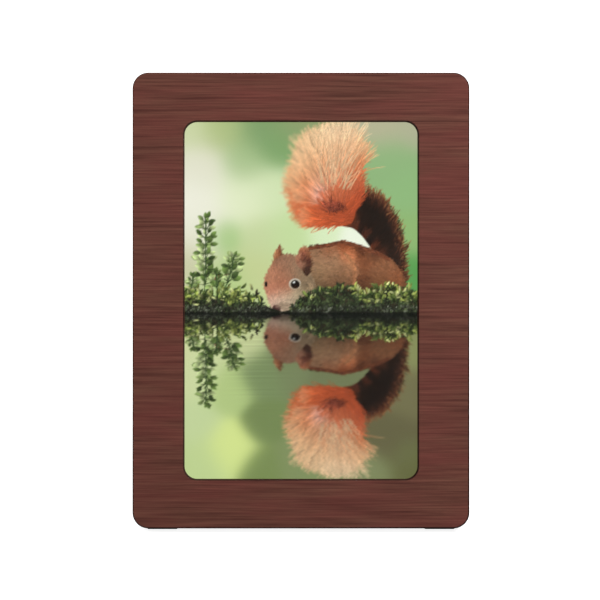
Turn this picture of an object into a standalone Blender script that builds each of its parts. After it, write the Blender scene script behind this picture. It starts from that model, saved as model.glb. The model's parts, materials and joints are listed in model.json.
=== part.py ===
"""A 10-inch digital photo frame with a wooden front, standing on its fold-out leg.

Everything is modelled in the frame's own axes: X across the front, Y from the front face to the
back, Z up the front face, with the zero at the middle of the front's bottom edge. The empty
frame_axes leans all of it back and sets it down, so that in the world Z is up, the table is at
Z = 0 and the origin is the middle of the footprint. The moving pieces hang on empties on their
own joint axes.
"""

import math

import bmesh
import bpy
from mathutils import Matrix, Vector

MM = 0.001

# Stance -------------------------------------------------------------------------------------
LEAN = math.radians(14.0)  # of the front face from upright
LEG_OPEN = math.radians(28.0)  # between the open leg and the back

# Clearances ---------------------------------------------------------------------------------
GAP = 0.3 * MM  # between pieces that touch
SHEET_GAP = 0.15 * MM  # between the thin sheets of the display
RUNNING = 0.2 * MM  # round a pin, on the radius
PAST = 2.0 * MM  # how far a cutter runs out past the faces that it cuts through

# Wooden front -------------------------------------------------------------------------------
FRONT_WIDTH = 203.0 * MM
FRONT_HEIGHT = 274.6 * MM
FRONT_DEPTH = 14.0 * MM
FRONT_CORNER = 9.6 * MM
FRONT_EDGE = 1.2 * MM  # round-over of the outer edges
SIDE_BORDER = 30.55 * MM  # wood beside the opening
END_BORDER = 29.0 * MM  # wood above and below the opening
LIP = 3.0 * MM  # wood in front of the glass
OPENING_CORNER = 8.4 * MM
OPENING_DRAFT = 0.75 * MM  # each side, over the lip
POCKET_CLEARANCE = 1.5 * MM  # round the glass
POCKET_CORNER = 3.0 * MM
LEDGE = 6.0 * MM  # step that the display bracket is screwed to

# Display ------------------------------------------------------------------------------------
GLASS_OVERLAP = 8.0 * MM  # of the glass behind the wood, each side
GLASS_END_OVERLAP = 8.7 * MM  # the same at the top and bottom
GLASS = 1.1 * MM
GASKET = 0.5 * MM
GASKET_SET_BACK = 1.0 * MM  # of the foam tape from the opening's edge
CELL_OVERLAP = 4.0 * MM  # of the picture's glass behind the wood, each side
CELL_END_OVERLAP = 4.7 * MM
CELL = 1.2 * MM
FILM = 0.4 * MM
GUIDE = 1.8 * MM
REFLECTOR = 0.2 * MM
LED_BAR = 2.4 * MM  # height of the strip of lamps under the light guide
LAMPS = 18
LAMP_LENGTH = 3.0 * MM
MOULD_WALL = 1.6 * MM
TRAY = 0.5 * MM
FLEX = 0.3 * MM
FLEX_LOOP = 0.6 * MM  # how far a ribbon bows out past the glass's or the tray's edge
LCD_FLEX_WIDTH = 28.0 * MM
TOUCH_FLEX_WIDTH = 6.0 * MM
FLEX_PITCH = 19.0 * MM  # between the two ribbons' middles

# Bracket, main board and screws ---------------------------------------------------------------
BRACKET = 1.0 * MM
BRACKET_BORDER = 14.0 * MM  # steel left round the windows
BRACKET_RIB = 16.0 * MM  # steel left between windows
WINDOW_CORNER = 2.5 * MM
FLEX_WINDOW = 6.0 * MM  # height of the window that the ribbons come through
BRACKET_SCREW_INSET = 22.0 * MM  # from the bracket's top and bottom edges
SCREW_SHANK = 1.3 * MM  # radius
SCREW_HEAD = 2.4 * MM
SCREW_HEAD_HEIGHT = 1.2 * MM
BOARD = 1.2 * MM
BOARD_LOW = 43.0 * MM
BOARD_WIDTH = 52.0 * MM
BOARD_HEIGHT = 100.0 * MM
BOARD_HOLE_INSET = 6.0 * MM
BOARD_STANDOFF_ROOM = 0.9 * MM  # between the cover's seat and the board
STANDOFF = 2.6 * MM  # radius
CAN = 20.0 * MM  # side of the shield over the processor
CAN_HEIGHT = 2.6 * MM
CAN_WALL = 0.3 * MM
CAN_MARGIN = 3.0 * MM  # between the processor and the shield
CONNECTOR_HEIGHT = 4.0 * MM
CONNECTOR_DEPTH = 2.0 * MM
CONNECTOR_MARGIN = 1.0 * MM  # beside and below the ribbons

# Rear cover ---------------------------------------------------------------------------------
COVER_INSET = 6.0 * MM  # from the wood's outer edge
COVER_DEPTH = 11.7 * MM
COVER_WALL = 2.0 * MM
COVER_CORNER = 8.0 * MM
COVER_EDGE = 2.4 * MM
COVER_SCREW_INSET = 12.0 * MM  # from the wood's side
COVER_SCREW_RISE = 24.0 * MM  # from the wood's top and bottom
COVER_BOSS = 4.6 * MM  # radius
COVER_SCREW_SEAT = 2.4 * MM  # thickness of the boss under a screw's head
COVER_SCREW_HEAD = 2.7 * MM
COVER_SCREW_HEAD_HEIGHT = 1.6 * MM
COVER_SCREW_GRIP = 7.0 * MM  # length of screw in the wood
COUNTERBORE = 3.2 * MM
PILOT_DEPTH = 8.0 * MM
BRACKET_PILOT_DEPTH = 4.0 * MM
BRACKET_SCREW_LENGTH = 3.5 * MM
BOARD_SCREW_LENGTH = 2.6 * MM
SLOT = 1.6 * MM  # width of a grille or vent slot
SLOT_PITCH = 3.6 * MM
GRILLE_SLOTS = 7
GRILLE_LENGTH = 16.0 * MM
VENT_SLOTS = 11
VENT_LENGTH = 12.0 * MM
VENT_DROP = 28.6 * MM  # from the wood's top to the vents' middle
VENT_INSET = 45.5 * MM  # from the cover's side to the vents' middle

# Speakers -----------------------------------------------------------------------------------
SPEAKER_INSET = 33.5 * MM  # from the inside of the cover's side to the speaker's middle
SPEAKER_RISE = 32.0 * MM
SPEAKER_LENGTH = 34.0 * MM
SPEAKER_WIDTH = 20.0 * MM
SPEAKER_DEPTH = 4.6 * MM
SPEAKER_RIM = 2.0 * MM
CONE_SLOPE = 3.0 * MM  # how far the cone's edge comes in, each side
CONE_DEPTH = 2.4 * MM
LEAD = 0.6 * MM  # radius of a speaker's lead

# Sockets and buttons on the right-hand side; rises are from the board's bottom edge --------------
JACK_RISE = 12.0 * MM
JACK_SIDE = 7.0 * MM
JACK_BORE = 2.6 * MM
JACK_BORE_DEPTH = 9.0 * MM
JACK_PIN = 0.8 * MM
JACK_LENGTH = 12.0 * MM
JACK_HOLE = 3.3 * MM  # radius of the hole in the cover
USB_RISE = 34.0 * MM
USB_LENGTH = 14.0 * MM
USB_WIDTH = 13.2 * MM
USB_HEIGHT = 5.8 * MM
USB_WALL = 0.5 * MM
USB_BLADE = 1.8 * MM
USB_BLADE_WIDTH = 11.0 * MM
USB_BLOCK = 3.0 * MM  # length of the block that carries the blade
CARD_RISE = 66.0 * MM
CARD_LENGTH = 26.0 * MM
CARD_WIDTH = 28.0 * MM
CARD_HEIGHT = 3.6 * MM
CARD_WALL = 0.6 * MM
CARD_SIDE_WALL = 1.6 * MM
SOCKET_SETBACK = 0.4 * MM  # behind the inside of the cover's side wall
PORT_CLEARANCE = 0.2 * MM  # between a socket's outline and the hole in the cover
BUTTON_DROPS = {"power": 44.0 * MM, "volume_up": 62.0 * MM, "volume_down": 76.0 * MM}
BUTTON_LENGTH = 9.0 * MM
BUTTON_WIDTH = 4.0 * MM
BUTTON_EDGE = 0.35 * MM
BUTTON_PROUD = 0.9 * MM
BUTTON_FLANGE = 1.2 * MM  # step round the cap inside the wall
BUTTON_TRAVEL = 0.35 * MM
BUTTON_BOARD = 1.0 * MM
BUTTON_BOARD_ROOM = 0.65 * MM  # between the button board's long edges and the cover
BUTTON_BOARD_MARGIN = 6.0 * MM  # past the end buttons' middles
SWITCH = 6.0 * MM  # side
SWITCH_HEIGHT = 3.4 * MM
SWITCH_WELL = 2.0 * MM
PLUNGER = 1.2 * MM  # radius
PLUNGER_PROUD = 1.1 * MM
STEM = 0.8 * MM  # length of the cap's stem, down to the plunger

# Wall hangers -------------------------------------------------------------------------------
HANGER = 1.2 * MM
HANGER_LENGTH = 32.0 * MM
HANGER_WIDTH = 22.0 * MM
HANGER_SHOWS = 0.2 * MM  # how far the steel stands in from the plastic's keyhole
KEYHOLE = 4.3 * MM  # radius of the round end
KEY_SLOT = 2.2 * MM  # half width of the slot
KEY_TRAVEL = 8.5 * MM  # from the round end to the slot's end
HANGER_INSET = 29.0 * MM  # keyhole's round end from the wood's edge

# Antenna ------------------------------------------------------------------------------------
ANTENNA_X = 21.0 * MM
ANTENNA_DROP = 19.5 * MM  # from the wood's top to the antenna's middle
ANTENNA_WIDTH = 6.0 * MM
ANTENNA_HEIGHT = 9.0 * MM

# Stand --------------------------------------------------------------------------------------
HINGE_RISE = 158.0 * MM
LEG_WIDTH = 34.0 * MM
LEG_TIP_WIDTH = 27.0 * MM
LEG = 5.0 * MM
LEG_EDGE = 0.6 * MM
LEG_SHOULDER = 12.0 * MM  # from the hinge to where the leg starts to narrow
LEG_SKIN = 3.4 * MM  # thickness left behind the hollow in the leg's inner face
HOLLOW_BORDER = 6.0 * MM  # beside the hollow
HOLLOW_TOP = 26.0 * MM  # from the hinge
HOLLOW_END = 22.0 * MM  # from the leg's end
LEG_SET_BACK = 0.7 * MM  # behind the cover's back, when folded
LEG_UNDER = 1.7 * MM  # between the folded leg and the pocket's floor
LEG_SIDE_GAP = 2.0 * MM
POCKET_WALL = 1.8 * MM
PIN = 1.5 * MM
WASHER_OUTER = 3.4 * MM
WASHER = 1.2 * MM
LEG_FOOT = 6.0 * MM  # length of the rubber foot on the leg
FOOT_TENON = 4.0 * MM
TENON_THICKNESS = 2.0 * MM
TENON_SHOULDER = 5.0 * MM  # beside the tenon
FINGER_NOTCH = 9.0 * MM
FINGER_NOTCH_RISE = 68.0 * MM

# Rubber feet under the front -------------------------------------------------------------------
FOOT_INSET = 17.5 * MM  # from the wood's side to the foot's middle
FOOT_LENGTH = 18.0 * MM
FOOT_DEPTH = 4.0 * MM
FOOT_SET_IN = 1.2 * MM  # into the wood
FOOT_PROUD = 0.4 * MM  # at the back
FOOT_FROM_BACK = 0.5 * MM

# Places worked out from the above -------------------------------------------------------------
MIDDLE = FRONT_HEIGHT / 2

opening_width = FRONT_WIDTH - 2 * SIDE_BORDER
opening_height = FRONT_HEIGHT - 2 * END_BORDER
glass_width = opening_width + 2 * GLASS_OVERLAP
glass_height = opening_height + 2 * GLASS_END_OVERLAP
cell_width = opening_width + 2 * CELL_OVERLAP
cell_height = opening_height + 2 * CELL_END_OVERLAP
mould_width = cell_width + 2 * (SHEET_GAP + MOULD_WALL)
mould_height = cell_height + 2 * (SHEET_GAP + MOULD_WALL)
tray_width = mould_width + 2 * (SHEET_GAP + TRAY)
tray_height = mould_height + 2 * (SHEET_GAP + TRAY)
pocket_width = glass_width + 2 * POCKET_CLEARANCE
pocket_height = glass_height + 2 * POCKET_CLEARANCE
ledge_width = pocket_width + 2 * LEDGE
ledge_height = pocket_height + 2 * LEDGE
bracket_width = ledge_width - 2 * GAP
bracket_height = ledge_height - 2 * GAP

gasket_front = LIP + GAP
glass_front = gasket_front + GASKET + GAP
cell_front = glass_front + GLASS + SHEET_GAP
film_front = cell_front + CELL + SHEET_GAP
guide_front = film_front + FILM + SHEET_GAP
reflector_front = guide_front + GUIDE + SHEET_GAP
tray_front = reflector_front + REFLECTOR + SHEET_GAP
ledge_depth = tray_front + TRAY
bracket_front = ledge_depth + GAP
bracket_back = bracket_front + BRACKET

cover_front = FRONT_DEPTH + GAP
cover_back = cover_front + COVER_DEPTH
cover_inside = cover_back - COVER_WALL
cover_width = FRONT_WIDTH - 2 * COVER_INSET
cover_height = FRONT_HEIGHT - 2 * COVER_INSET
cover_low = COVER_INSET
cover_side = cover_width / 2
cover_side_inside = cover_side - COVER_WALL

board_front = cover_front + BOARD_STANDOFF_ROOM
board_back = board_front + BOARD
board_outer = cover_side_inside - BOARD_STANDOFF_ROOM
board_inner = board_outer - BOARD_WIDTH
board_top = BOARD_LOW + BOARD_HEIGHT
parts_front = board_back + GAP  # front of what is soldered to the board

lcd_flex_x = board_outer - CONNECTOR_MARGIN - LCD_FLEX_WIDTH / 2 - JACK_LENGTH
touch_flex_x = lcd_flex_x - FLEX_PITCH
ribbons = ((touch_flex_x, TOUCH_FLEX_WIDTH), (lcd_flex_x, LCD_FLEX_WIDTH))
ribbon_end_depth = parts_front + CONNECTOR_DEPTH / 2

button_depth = (cover_front + cover_inside) / 2
button_rises = {name: FRONT_HEIGHT - drop for name, drop in BUTTON_DROPS.items()}
cap_inner_face = cover_side_inside - GAP - BUTTON_FLANGE
plunger_tip = cap_inner_face - GAP - STEM
switch_front = plunger_tip - PLUNGER_PROUD
switch_back = switch_front - SWITCH_HEIGHT

speaker_x = cover_side_inside - SPEAKER_INSET
foot_x = FRONT_WIDTH / 2 - FOOT_INSET

leg_back = cover_back - LEG_SET_BACK
hinge_depth = leg_back - LEG / 2
under_hinge = LEG / 2 + LEG_UNDER  # from the hinge's axis to the pocket's floor
pocket_floor = hinge_depth - under_hinge
pocket_half_width = LEG_WIDTH / 2 + LEG_SIDE_GAP
leg_tail = (under_hinge - GAP - LEG / 2 * math.cos(LEG_OPEN)) / math.sin(LEG_OPEN)
pocket_top = HINGE_RISE + math.hypot(leg_tail, LEG / 2) + 2 * GAP

foot_back = FRONT_DEPTH - FOOT_FROM_BACK
foot_front = foot_back - FOOT_DEPTH

bracket_screw_places = [
    (sx * (ledge_width - LEDGE) / 2, MIDDLE + sz * (bracket_height / 2 - BRACKET_SCREW_INSET))
    for sx in (-1, 1)
    for sz in (-1, 1)
]
cover_screw_places = [
    (sx * (FRONT_WIDTH / 2 - COVER_SCREW_INSET), MIDDLE + sz * (MIDDLE - COVER_SCREW_RISE))
    for sx in (-1, 1)
    for sz in (-1, 1)
]
board_screw_places = [
    (board_inner + BOARD_HOLE_INSET, board_top - BOARD_HOLE_INSET),
    (bracket_width / 2 - 2 * BOARD_HOLE_INSET, board_top - BOARD_HOLE_INSET),
    (board_outer - BOARD_WIDTH / 2, BOARD_LOW + (JACK_RISE + USB_RISE) / 2),
]
hanger_places = {
    "portrait": ((0.0, FRONT_HEIGHT - HANGER_INSET), (0.0, 1.0)),
    "landscape": ((-FRONT_WIDTH / 2 + HANGER_INSET, MIDDLE), (-1.0, 0.0)),
}


def ground(depth):
    """The height of the table under the frame, in the frame's axes, at this depth."""
    return (depth - foot_back) * math.tan(LEAN) - FOOT_PROUD


def leg_sole(offset):
    """How far below the hinge axis the table lies along the leg, this far out from its middle."""
    drop = HINGE_RISE - ground(hinge_depth)
    rise = offset * (math.sin(LEG_OPEN) - math.cos(LEG_OPEN) * math.tan(LEAN))
    return (drop + rise) / (math.cos(LEG_OPEN) + math.sin(LEG_OPEN) * math.tan(LEAN))


# Shading --------------------------------------------------------------------------------------
FLAT_BEND = math.radians(1)
SHARP_BEND = math.radians(35)

# Scene, materials and objects -----------------------------------------------------------------
AXES = {
    "X": Matrix(((0, 0, 1), (1, 0, 0), (0, 1, 0))).to_4x4(),
    "Y": Matrix(((1, 0, 0), (0, 0, -1), (0, 1, 0))).to_4x4(),
    "Z": Matrix.Identity(4),
}


def clear_scene():
    for old in list(bpy.data.objects):
        bpy.data.objects.remove(old, do_unlink=True)


def new_collection(name):
    made = bpy.data.collections.new(name)
    bpy.context.scene.collection.children.link(made)
    return made


clear_scene()
piece_collection = new_collection("digital_photo_frame")
helper_collection = new_collection("cutters")


def new_empty(name, parent=None, location=(0, 0, 0)):
    made = bpy.data.objects.new(name, None)
    made.parent = parent
    made.location = location
    piece_collection.objects.link(made)
    return made


frame_axes = new_empty("frame_axes")


def new_material(name, colour, roughness, metallic=0.0):
    made = bpy.data.materials.new(name)
    made.use_nodes = True
    shader = made.node_tree.nodes["Principled BSDF"]
    shader.inputs["Base Color"].default_value = (*colour, 1.0)
    shader.inputs["Roughness"].default_value = roughness
    shader.inputs["Metallic"].default_value = metallic
    made.diffuse_color = (*colour, 1.0)
    return made


wood = new_material("wood", (0.118, 0.044, 0.036), 0.5)
black_plastic = new_material("black_plastic", (0.018, 0.018, 0.019), 0.5)
white_plastic = new_material("white_plastic", (0.75, 0.75, 0.73), 0.5)
rubber = new_material("rubber", (0.02, 0.02, 0.02), 0.85)
foam = new_material("foam", (0.012, 0.012, 0.012), 0.95)
glass = new_material("glass", (0.6, 0.62, 0.6), 0.08)
display = new_material("display", (0.35, 0.42, 0.24), 0.3)
acrylic = new_material("acrylic", (0.8, 0.83, 0.85), 0.15)
steel = new_material("steel", (0.5, 0.5, 0.5), 0.35, 1.0)
flex_film = new_material("flex_film", (0.35, 0.15, 0.03), 0.4)
board_green = new_material("board_green", (0.01, 0.09, 0.035), 0.45)
chip_black = new_material("chip_black", (0.012, 0.012, 0.013), 0.55)


# Shapes: each function gives a bmesh in the frame's axes ------------------------------------------
def rounded_rectangle(width, height, radius, centre=(0, 0), steps=5):
    """An outline with round corners, anticlockwise from the right-hand side."""
    points = []
    for turn, (sx, sy) in enumerate(((1, 1), (-1, 1), (-1, -1), (1, -1))):
        cx = centre[0] + sx * (width / 2 - radius)
        cy = centre[1] + sy * (height / 2 - radius)
        for step in range(steps + 1):
            angle = math.pi / 2 * (turn + step / steps)
            points.append((cx + radius * math.cos(angle), cy + radius * math.sin(angle)))
    return points


def round_end(width):
    """Just under half a width, for a corner that makes an end round."""
    return 0.498 * width


def circle(centre, radius, sides=16):
    turns = [2 * math.pi * (side + 0.5) / sides for side in range(sides)]
    return [(centre[0] + radius * math.cos(t), centre[1] + radius * math.sin(t)) for t in turns]


def keyhole(centre, direction, grow=0.0):
    """A round end with a slot that leads away from it along direction, as one outline."""
    head, half = KEYHOLE + grow, KEY_SLOT + grow
    mouth = math.asin(half / head)
    head_turns = [mouth + (2 * math.pi - 2 * mouth) * step / 14 for step in range(15)]
    points = [(head * math.cos(t), head * math.sin(t)) for t in head_turns]
    end_turns = [-math.pi / 2 + math.pi * step / 6 for step in range(7)]
    points += [(KEY_TRAVEL + half * math.cos(t), half * math.sin(t)) for t in end_turns]
    dx, dy = direction
    return [(centre[0] + u * dx - v * dy, centre[1] + u * dy + v * dx) for u, v in points]


def flat_outline(loops, axis, low, high):
    """A flat outline, with any holes, made as thick as high - low along an axis."""
    curve = bpy.data.curves.new("outline", "CURVE")
    curve.dimensions = "2D"
    curve.fill_mode = "BOTH"
    curve.extrude = (high - low) / 2
    for loop in loops:
        spline = curve.splines.new("POLY")
        spline.points.add(len(loop) - 1)
        spline.points.foreach_set("co", [c for x, y in loop for c in (x, y, 0, 1)])
        spline.use_cyclic_u = True
    guide = bpy.data.objects.new("outline", curve)
    helper_collection.objects.link(guide)
    evaluated = guide.evaluated_get(bpy.context.evaluated_depsgraph_get())
    mesh = bpy.data.meshes.new_from_object(evaluated)
    shape = bmesh.new()
    shape.from_mesh(mesh)
    bpy.data.objects.remove(guide, do_unlink=True)
    bpy.data.meshes.remove(mesh)
    bmesh.ops.remove_doubles(shape, verts=shape.verts, dist=1e-6)
    bmesh.ops.transform(shape, matrix=AXES[axis], verts=shape.verts)
    along = Vector((axis == "X", axis == "Y", axis == "Z")) * (low + high) / 2
    bmesh.ops.translate(shape, vec=along, verts=shape.verts)
    bmesh.ops.recalc_face_normals(shape, faces=shape.faces)
    return shape


def box(low, high):
    shape = bmesh.new()
    size = [b - a for a, b in zip(low, high)]
    middle = [(a + b) / 2 for a, b in zip(low, high)]
    bmesh.ops.create_cube(shape, matrix=Matrix.Translation(middle) @ Matrix.Diagonal((*size, 1)))
    return shape


def cylinder(axis, centre, low, high, radius, sides=16):
    """A round bar along an axis; centre is its place on the two other axes, in X, Y, Z order."""
    shape = bmesh.new()
    bmesh.ops.create_cone(
        shape, cap_ends=True, segments=sides, radius1=radius, radius2=radius, depth=high - low
    )
    half_side = Matrix.Rotation(math.pi / sides, 4, "Z")
    turn = {
        "X": Matrix.Rotation(math.pi / 2, 4, "Y"),
        "Y": Matrix.Rotation(-math.pi / 2, 4, "X"),
        "Z": Matrix.Identity(4),
    }[axis]
    middle = list(centre)
    middle.insert("XYZ".index(axis), (low + high) / 2)
    matrix = Matrix.Translation(middle) @ turn @ half_side
    bmesh.ops.transform(shape, matrix=matrix, verts=shape.verts)
    return shape


def tapered(front_outline, front, back_outline, back):
    """A solid between two outlines of as many points, at two depths."""
    shape = bmesh.new()
    loops = []
    for outline, depth in ((front_outline, front), (back_outline, back)):
        loops.append([shape.verts.new((x, depth, z)) for x, z in outline])
    count = len(front_outline)
    shape.faces.new(loops[0])
    shape.faces.new(loops[1])
    for i in range(count):
        j = (i + 1) % count
        shape.faces.new((loops[0][i], loops[0][j], loops[1][j], loops[1][i]))
    bmesh.ops.recalc_face_normals(shape, faces=shape.faces)
    return shape


def together(shapes):
    """Several shapes that don't touch, in one bmesh."""
    joined = shapes[0]
    for shape in shapes[1:]:
        mesh = bpy.data.meshes.new("joined")
        shape.to_mesh(mesh)
        joined.from_mesh(mesh)
        bpy.data.meshes.remove(mesh)
    return joined


def shade_round_faces(shape):
    """Smooth shading where faces curve into each other, and flat elsewhere."""
    for edge in shape.edges:
        if edge.is_manifold:
            bend = edge.calc_face_angle()
            edge.smooth = bend < SHARP_BEND
            if FLAT_BEND < bend < SHARP_BEND:
                for face in edge.link_faces:
                    face.smooth = True


def new_object(name, shape, collection, parent, origin):
    mesh = bpy.data.meshes.new(name)
    bmesh.ops.translate(shape, vec=-Vector(origin), verts=shape.verts)
    shade_round_faces(shape)
    shape.to_mesh(mesh)
    shape.free()
    made = bpy.data.objects.new(name, mesh)
    collection.objects.link(made)
    made.parent = parent
    made.location = origin
    return made


def piece(name, shape, material, parent=frame_axes, origin=(0, 0, 0)):
    """One physical piece. Its shape is in its parent's axes, and origin is where its own zero goes."""
    made = new_object(name, shape, piece_collection, parent, origin)
    made.data.materials.append(material)
    return made


def boolean(target, label, shapes, operation):
    helper = new_object(
        f"{target.name}_{label}", together(shapes), helper_collection, target.parent, (0, 0, 0)
    )
    helper.hide_render = True
    helper.display_type = "WIRE"
    modifier = target.modifiers.new(label, "BOOLEAN")
    modifier.operation = operation
    modifier.solver = "EXACT"
    modifier.object = helper


def cut(target, label, *shapes):
    boolean(target, label, shapes, "DIFFERENCE")


def join(target, label, *shapes):
    boolean(target, label, shapes, "UNION")


def round_edges(target, width, segments, angle=math.radians(50)):
    modifier = target.modifiers.new("round_over", "BEVEL")
    modifier.width = width
    modifier.segments = segments
    modifier.limit_method = "ANGLE"
    modifier.angle_limit = angle


def smooth_route(points, per_span):
    """A smooth curve through points, read at per_span places between each two (Catmull-Rom)."""
    knots = [Vector(p) for p in points]
    knots = [2 * knots[0] - knots[1], *knots, 2 * knots[-1] - knots[-2]]
    route = []
    for a, b, c, d in zip(knots, knots[1:], knots[2:], knots[3:]):
        for step in range(per_span):
            t = step / per_span
            bend = (2 * a - 5 * b + 4 * c - d) * t * t + (3 * b - a - 3 * c + d) * t**3
            route.append((2 * b + (c - a) * t + bend) / 2)
    return [*route, knots[-2]]


def wire(name, points, radius, material, per_span=3):
    """A round lead along a smooth curve through points."""
    curve = bpy.data.curves.new(name, "CURVE")
    curve.dimensions = "3D"
    curve.bevel_depth = radius
    curve.bevel_resolution = 2
    curve.use_fill_caps = True
    route = smooth_route(points, per_span)
    spline = curve.splines.new("POLY")
    spline.points.add(len(route) - 1)
    spline.points.foreach_set("co", [c for p in route for c in (*p, 1)])
    made = bpy.data.objects.new(name, curve)
    piece_collection.objects.link(made)
    made.parent = frame_axes
    made.data.materials.append(material)
    return made


def ring(outer, inner, corner, inner_corner, low, high):
    """A rectangular ring round the middle of the front, each size as (width, height)."""
    return flat_outline(
        [
            rounded_rectangle(*outer, corner, (0, MIDDLE)),
            rounded_rectangle(*inner, inner_corner, (0, MIDDLE), steps=3),
        ],
        "Y",
        low,
        high,
    )


def panel(width, height, low, high, corner=1.0 * MM, steps=2):
    """A plate round the middle of the front."""
    outline = rounded_rectangle(width, height, corner, (0, MIDDLE), steps)
    return flat_outline([outline], "Y", low, high)


# Wooden front and its feet ----------------------------------------------------------------------
def build_front():
    outline = rounded_rectangle(FRONT_WIDTH, FRONT_HEIGHT, FRONT_CORNER, (0, MIDDLE), steps=8)
    front = piece("front_frame", flat_outline([outline], "Y", 0, FRONT_DEPTH), wood)
    round_edges(front, FRONT_EDGE, 3)

    def opening(depth):
        inset = depth * OPENING_DRAFT / LIP
        width, height = opening_width - 2 * inset, opening_height - 2 * inset
        return rounded_rectangle(width, height, OPENING_CORNER - inset, (0, MIDDLE), steps=8)

    cut(front, "opening", tapered(opening(-PAST), -PAST, opening(LIP + PAST), LIP + PAST))
    inside_ledge = (ledge_depth + FRONT_DEPTH) / 2
    cut(
        front,
        "display_pocket",
        panel(pocket_width, pocket_height, LIP, inside_ledge, POCKET_CORNER, 3),
    )
    cut(
        front,
        "ledge",
        panel(ledge_width, ledge_height, ledge_depth, FRONT_DEPTH + PAST, POCKET_CORNER, 3),
    )
    hole = SCREW_SHANK + GAP
    pilots = [
        cylinder("Y", place, ledge_depth - BRACKET_PILOT_DEPTH, inside_ledge, hole, 8)
        for place in bracket_screw_places
    ] + [
        cylinder("Y", place, FRONT_DEPTH - PILOT_DEPTH, FRONT_DEPTH + PAST, hole, 8)
        for place in cover_screw_places
    ]
    cut(front, "pilot_holes", *pilots)
    reach = FOOT_LENGTH / 2 + GAP
    seats = [
        box((x - reach, foot_front - GAP, -PAST), (x + reach, foot_back + GAP, FOOT_SET_IN + GAP))
        for x in (-foot_x, foot_x)
    ]
    cut(front, "foot_seats", *seats)


def build_feet():
    """Rubber pads let into the bottom edge, with soles cut level with the table."""
    profile = [
        (foot_front, ground(foot_front)),
        (foot_back, ground(foot_back)),
        (foot_back, FOOT_SET_IN),
        (foot_front, FOOT_SET_IN),
    ]
    for name, x in (("foot_left", -foot_x), ("foot_right", foot_x)):
        shape = flat_outline([profile], "X", x - FOOT_LENGTH / 2, x + FOOT_LENGTH / 2)
        piece(name, shape, rubber, origin=(x, foot_back, 0))


# Display ----------------------------------------------------------------------------------------
def build_glass_and_cell():
    inner = (opening_width + 2 * GASKET_SET_BACK, opening_height + 2 * GASKET_SET_BACK)
    tape = ring(
        (glass_width, glass_height), inner, 2 * MM, 4 * MM, gasket_front, gasket_front + GASKET
    )
    piece("display_gasket", tape, foam)
    cover = panel(glass_width, glass_height, glass_front, glass_front + GLASS)
    piece("cover_glass", cover, glass)
    piece("lcd_cell", panel(cell_width, cell_height, cell_front, cell_front + CELL), display)
    film = panel(cell_width, cell_height, film_front, film_front + FILM)
    piece("optical_film", film, white_plastic)


def build_backlight():
    half = cell_width / 2 - GAP
    low = MIDDLE - cell_height / 2 + GAP
    high = MIDDLE + cell_height / 2 - GAP
    guide_back = guide_front + GUIDE
    plate = box((-half, guide_front, low + LED_BAR), (half, guide_back, high))
    piece("light_guide", plate, acrylic)
    strip = box((-half, guide_front, low), (half, guide_back, low + LED_BAR / 2))
    bar = piece("led_bar", strip, white_plastic)
    lamps = []
    for i in range(LAMPS):
        x = cell_width * ((i + 0.5) / LAMPS - 0.5) - LAMP_LENGTH / 2
        corner = (x, guide_front + GUIDE / 4, low + LED_BAR / 4)
        opposite = (x + LAMP_LENGTH, guide_back - GUIDE / 4, low + LED_BAR - GAP)
        lamps.append(box(corner, opposite))
    join(bar, "lamps", *lamps)
    sheet = panel(cell_width, cell_height, reflector_front, reflector_front + REFLECTOR)
    piece("reflector_sheet", sheet, white_plastic)


def build_display_case():
    room = (cell_width + 2 * SHEET_GAP, cell_height + 2 * SHEET_GAP)
    mould_back = reflector_front + REFLECTOR
    mould = ring((mould_width, mould_height), room, 1 * MM, 1 * MM, cell_front, mould_back)
    piece("lcd_mould_frame", mould, white_plastic)

    tray = piece("lcd_back_tray", panel(tray_width, tray_height, cell_front, ledge_depth), steel)
    inside = (mould_width + 2 * SHEET_GAP, mould_height + 2 * SHEET_GAP)
    cut(tray, "inside", panel(*inside, cell_front - PAST, tray_front, 0.6 * MM))
    reach = LCD_FLEX_WIDTH / 2 + 1 * MM
    wall_inside = MIDDLE - mould_height / 2 - SHEET_GAP / 2
    notch = box(
        (lcd_flex_x - reach, cell_front - PAST, MIDDLE - tray_height / 2 - PAST),
        (lcd_flex_x + reach, cell_front + CELL, wall_inside),
    )
    cut(tray, "flex_notch", notch)


def ribbon(points, width, x):
    """A flat strip along X whose side view follows points, given as (depth, height)."""
    sides = ([], [])
    for i, point in enumerate(points):
        before = Vector(points[max(i - 1, 0)])
        after = Vector(points[min(i + 1, len(points) - 1)])
        along = (after - before).normalized()
        across = Vector((-along.y, along.x)) * FLEX / 2
        sides[0].append(tuple(Vector(point) + across))
        sides[1].append(tuple(Vector(point) - across))
    loop = sides[0] + sides[1][::-1]
    return flat_outline([loop], "X", x - width / 2, x + width / 2)


def build_ribbons():
    """Ribbons from the display's bottom edge, round the tray and up to the main board."""
    bend = 1.1 * MM
    run_depth = bracket_back + GAP + FLEX / 2
    tray_low = MIDDLE - tray_height / 2
    glass_low = MIDDLE - glass_height / 2
    mouth = BOARD_LOW - 2 * MM
    for name, (x, width), start_depth, edge in (
        ("touch_flex", ribbons[0], glass_front + GLASS / 2, glass_low),
        ("lcd_flex", ribbons[1], cell_front + CELL / 2, tray_low),
    ):
        start = edge - GAP
        low = start - FLEX_LOOP
        points = [
            (start_depth, start),
            (start_depth + 0.3 * MM, low + 0.2 * MM),
            (start_depth + bend, low),
            (run_depth - bend, low),
            (run_depth - 0.2 * MM, low + 0.4 * MM),
            (run_depth, low + bend),
            (run_depth, mouth - 5 * MM),
            (ribbon_end_depth - 1.0 * MM, mouth - 1.5 * MM),
            (ribbon_end_depth, mouth),
            (ribbon_end_depth, BOARD_LOW + 1.5 * MM),
        ]
        piece(name, ribbon(points, width, x), flex_film)


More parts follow.
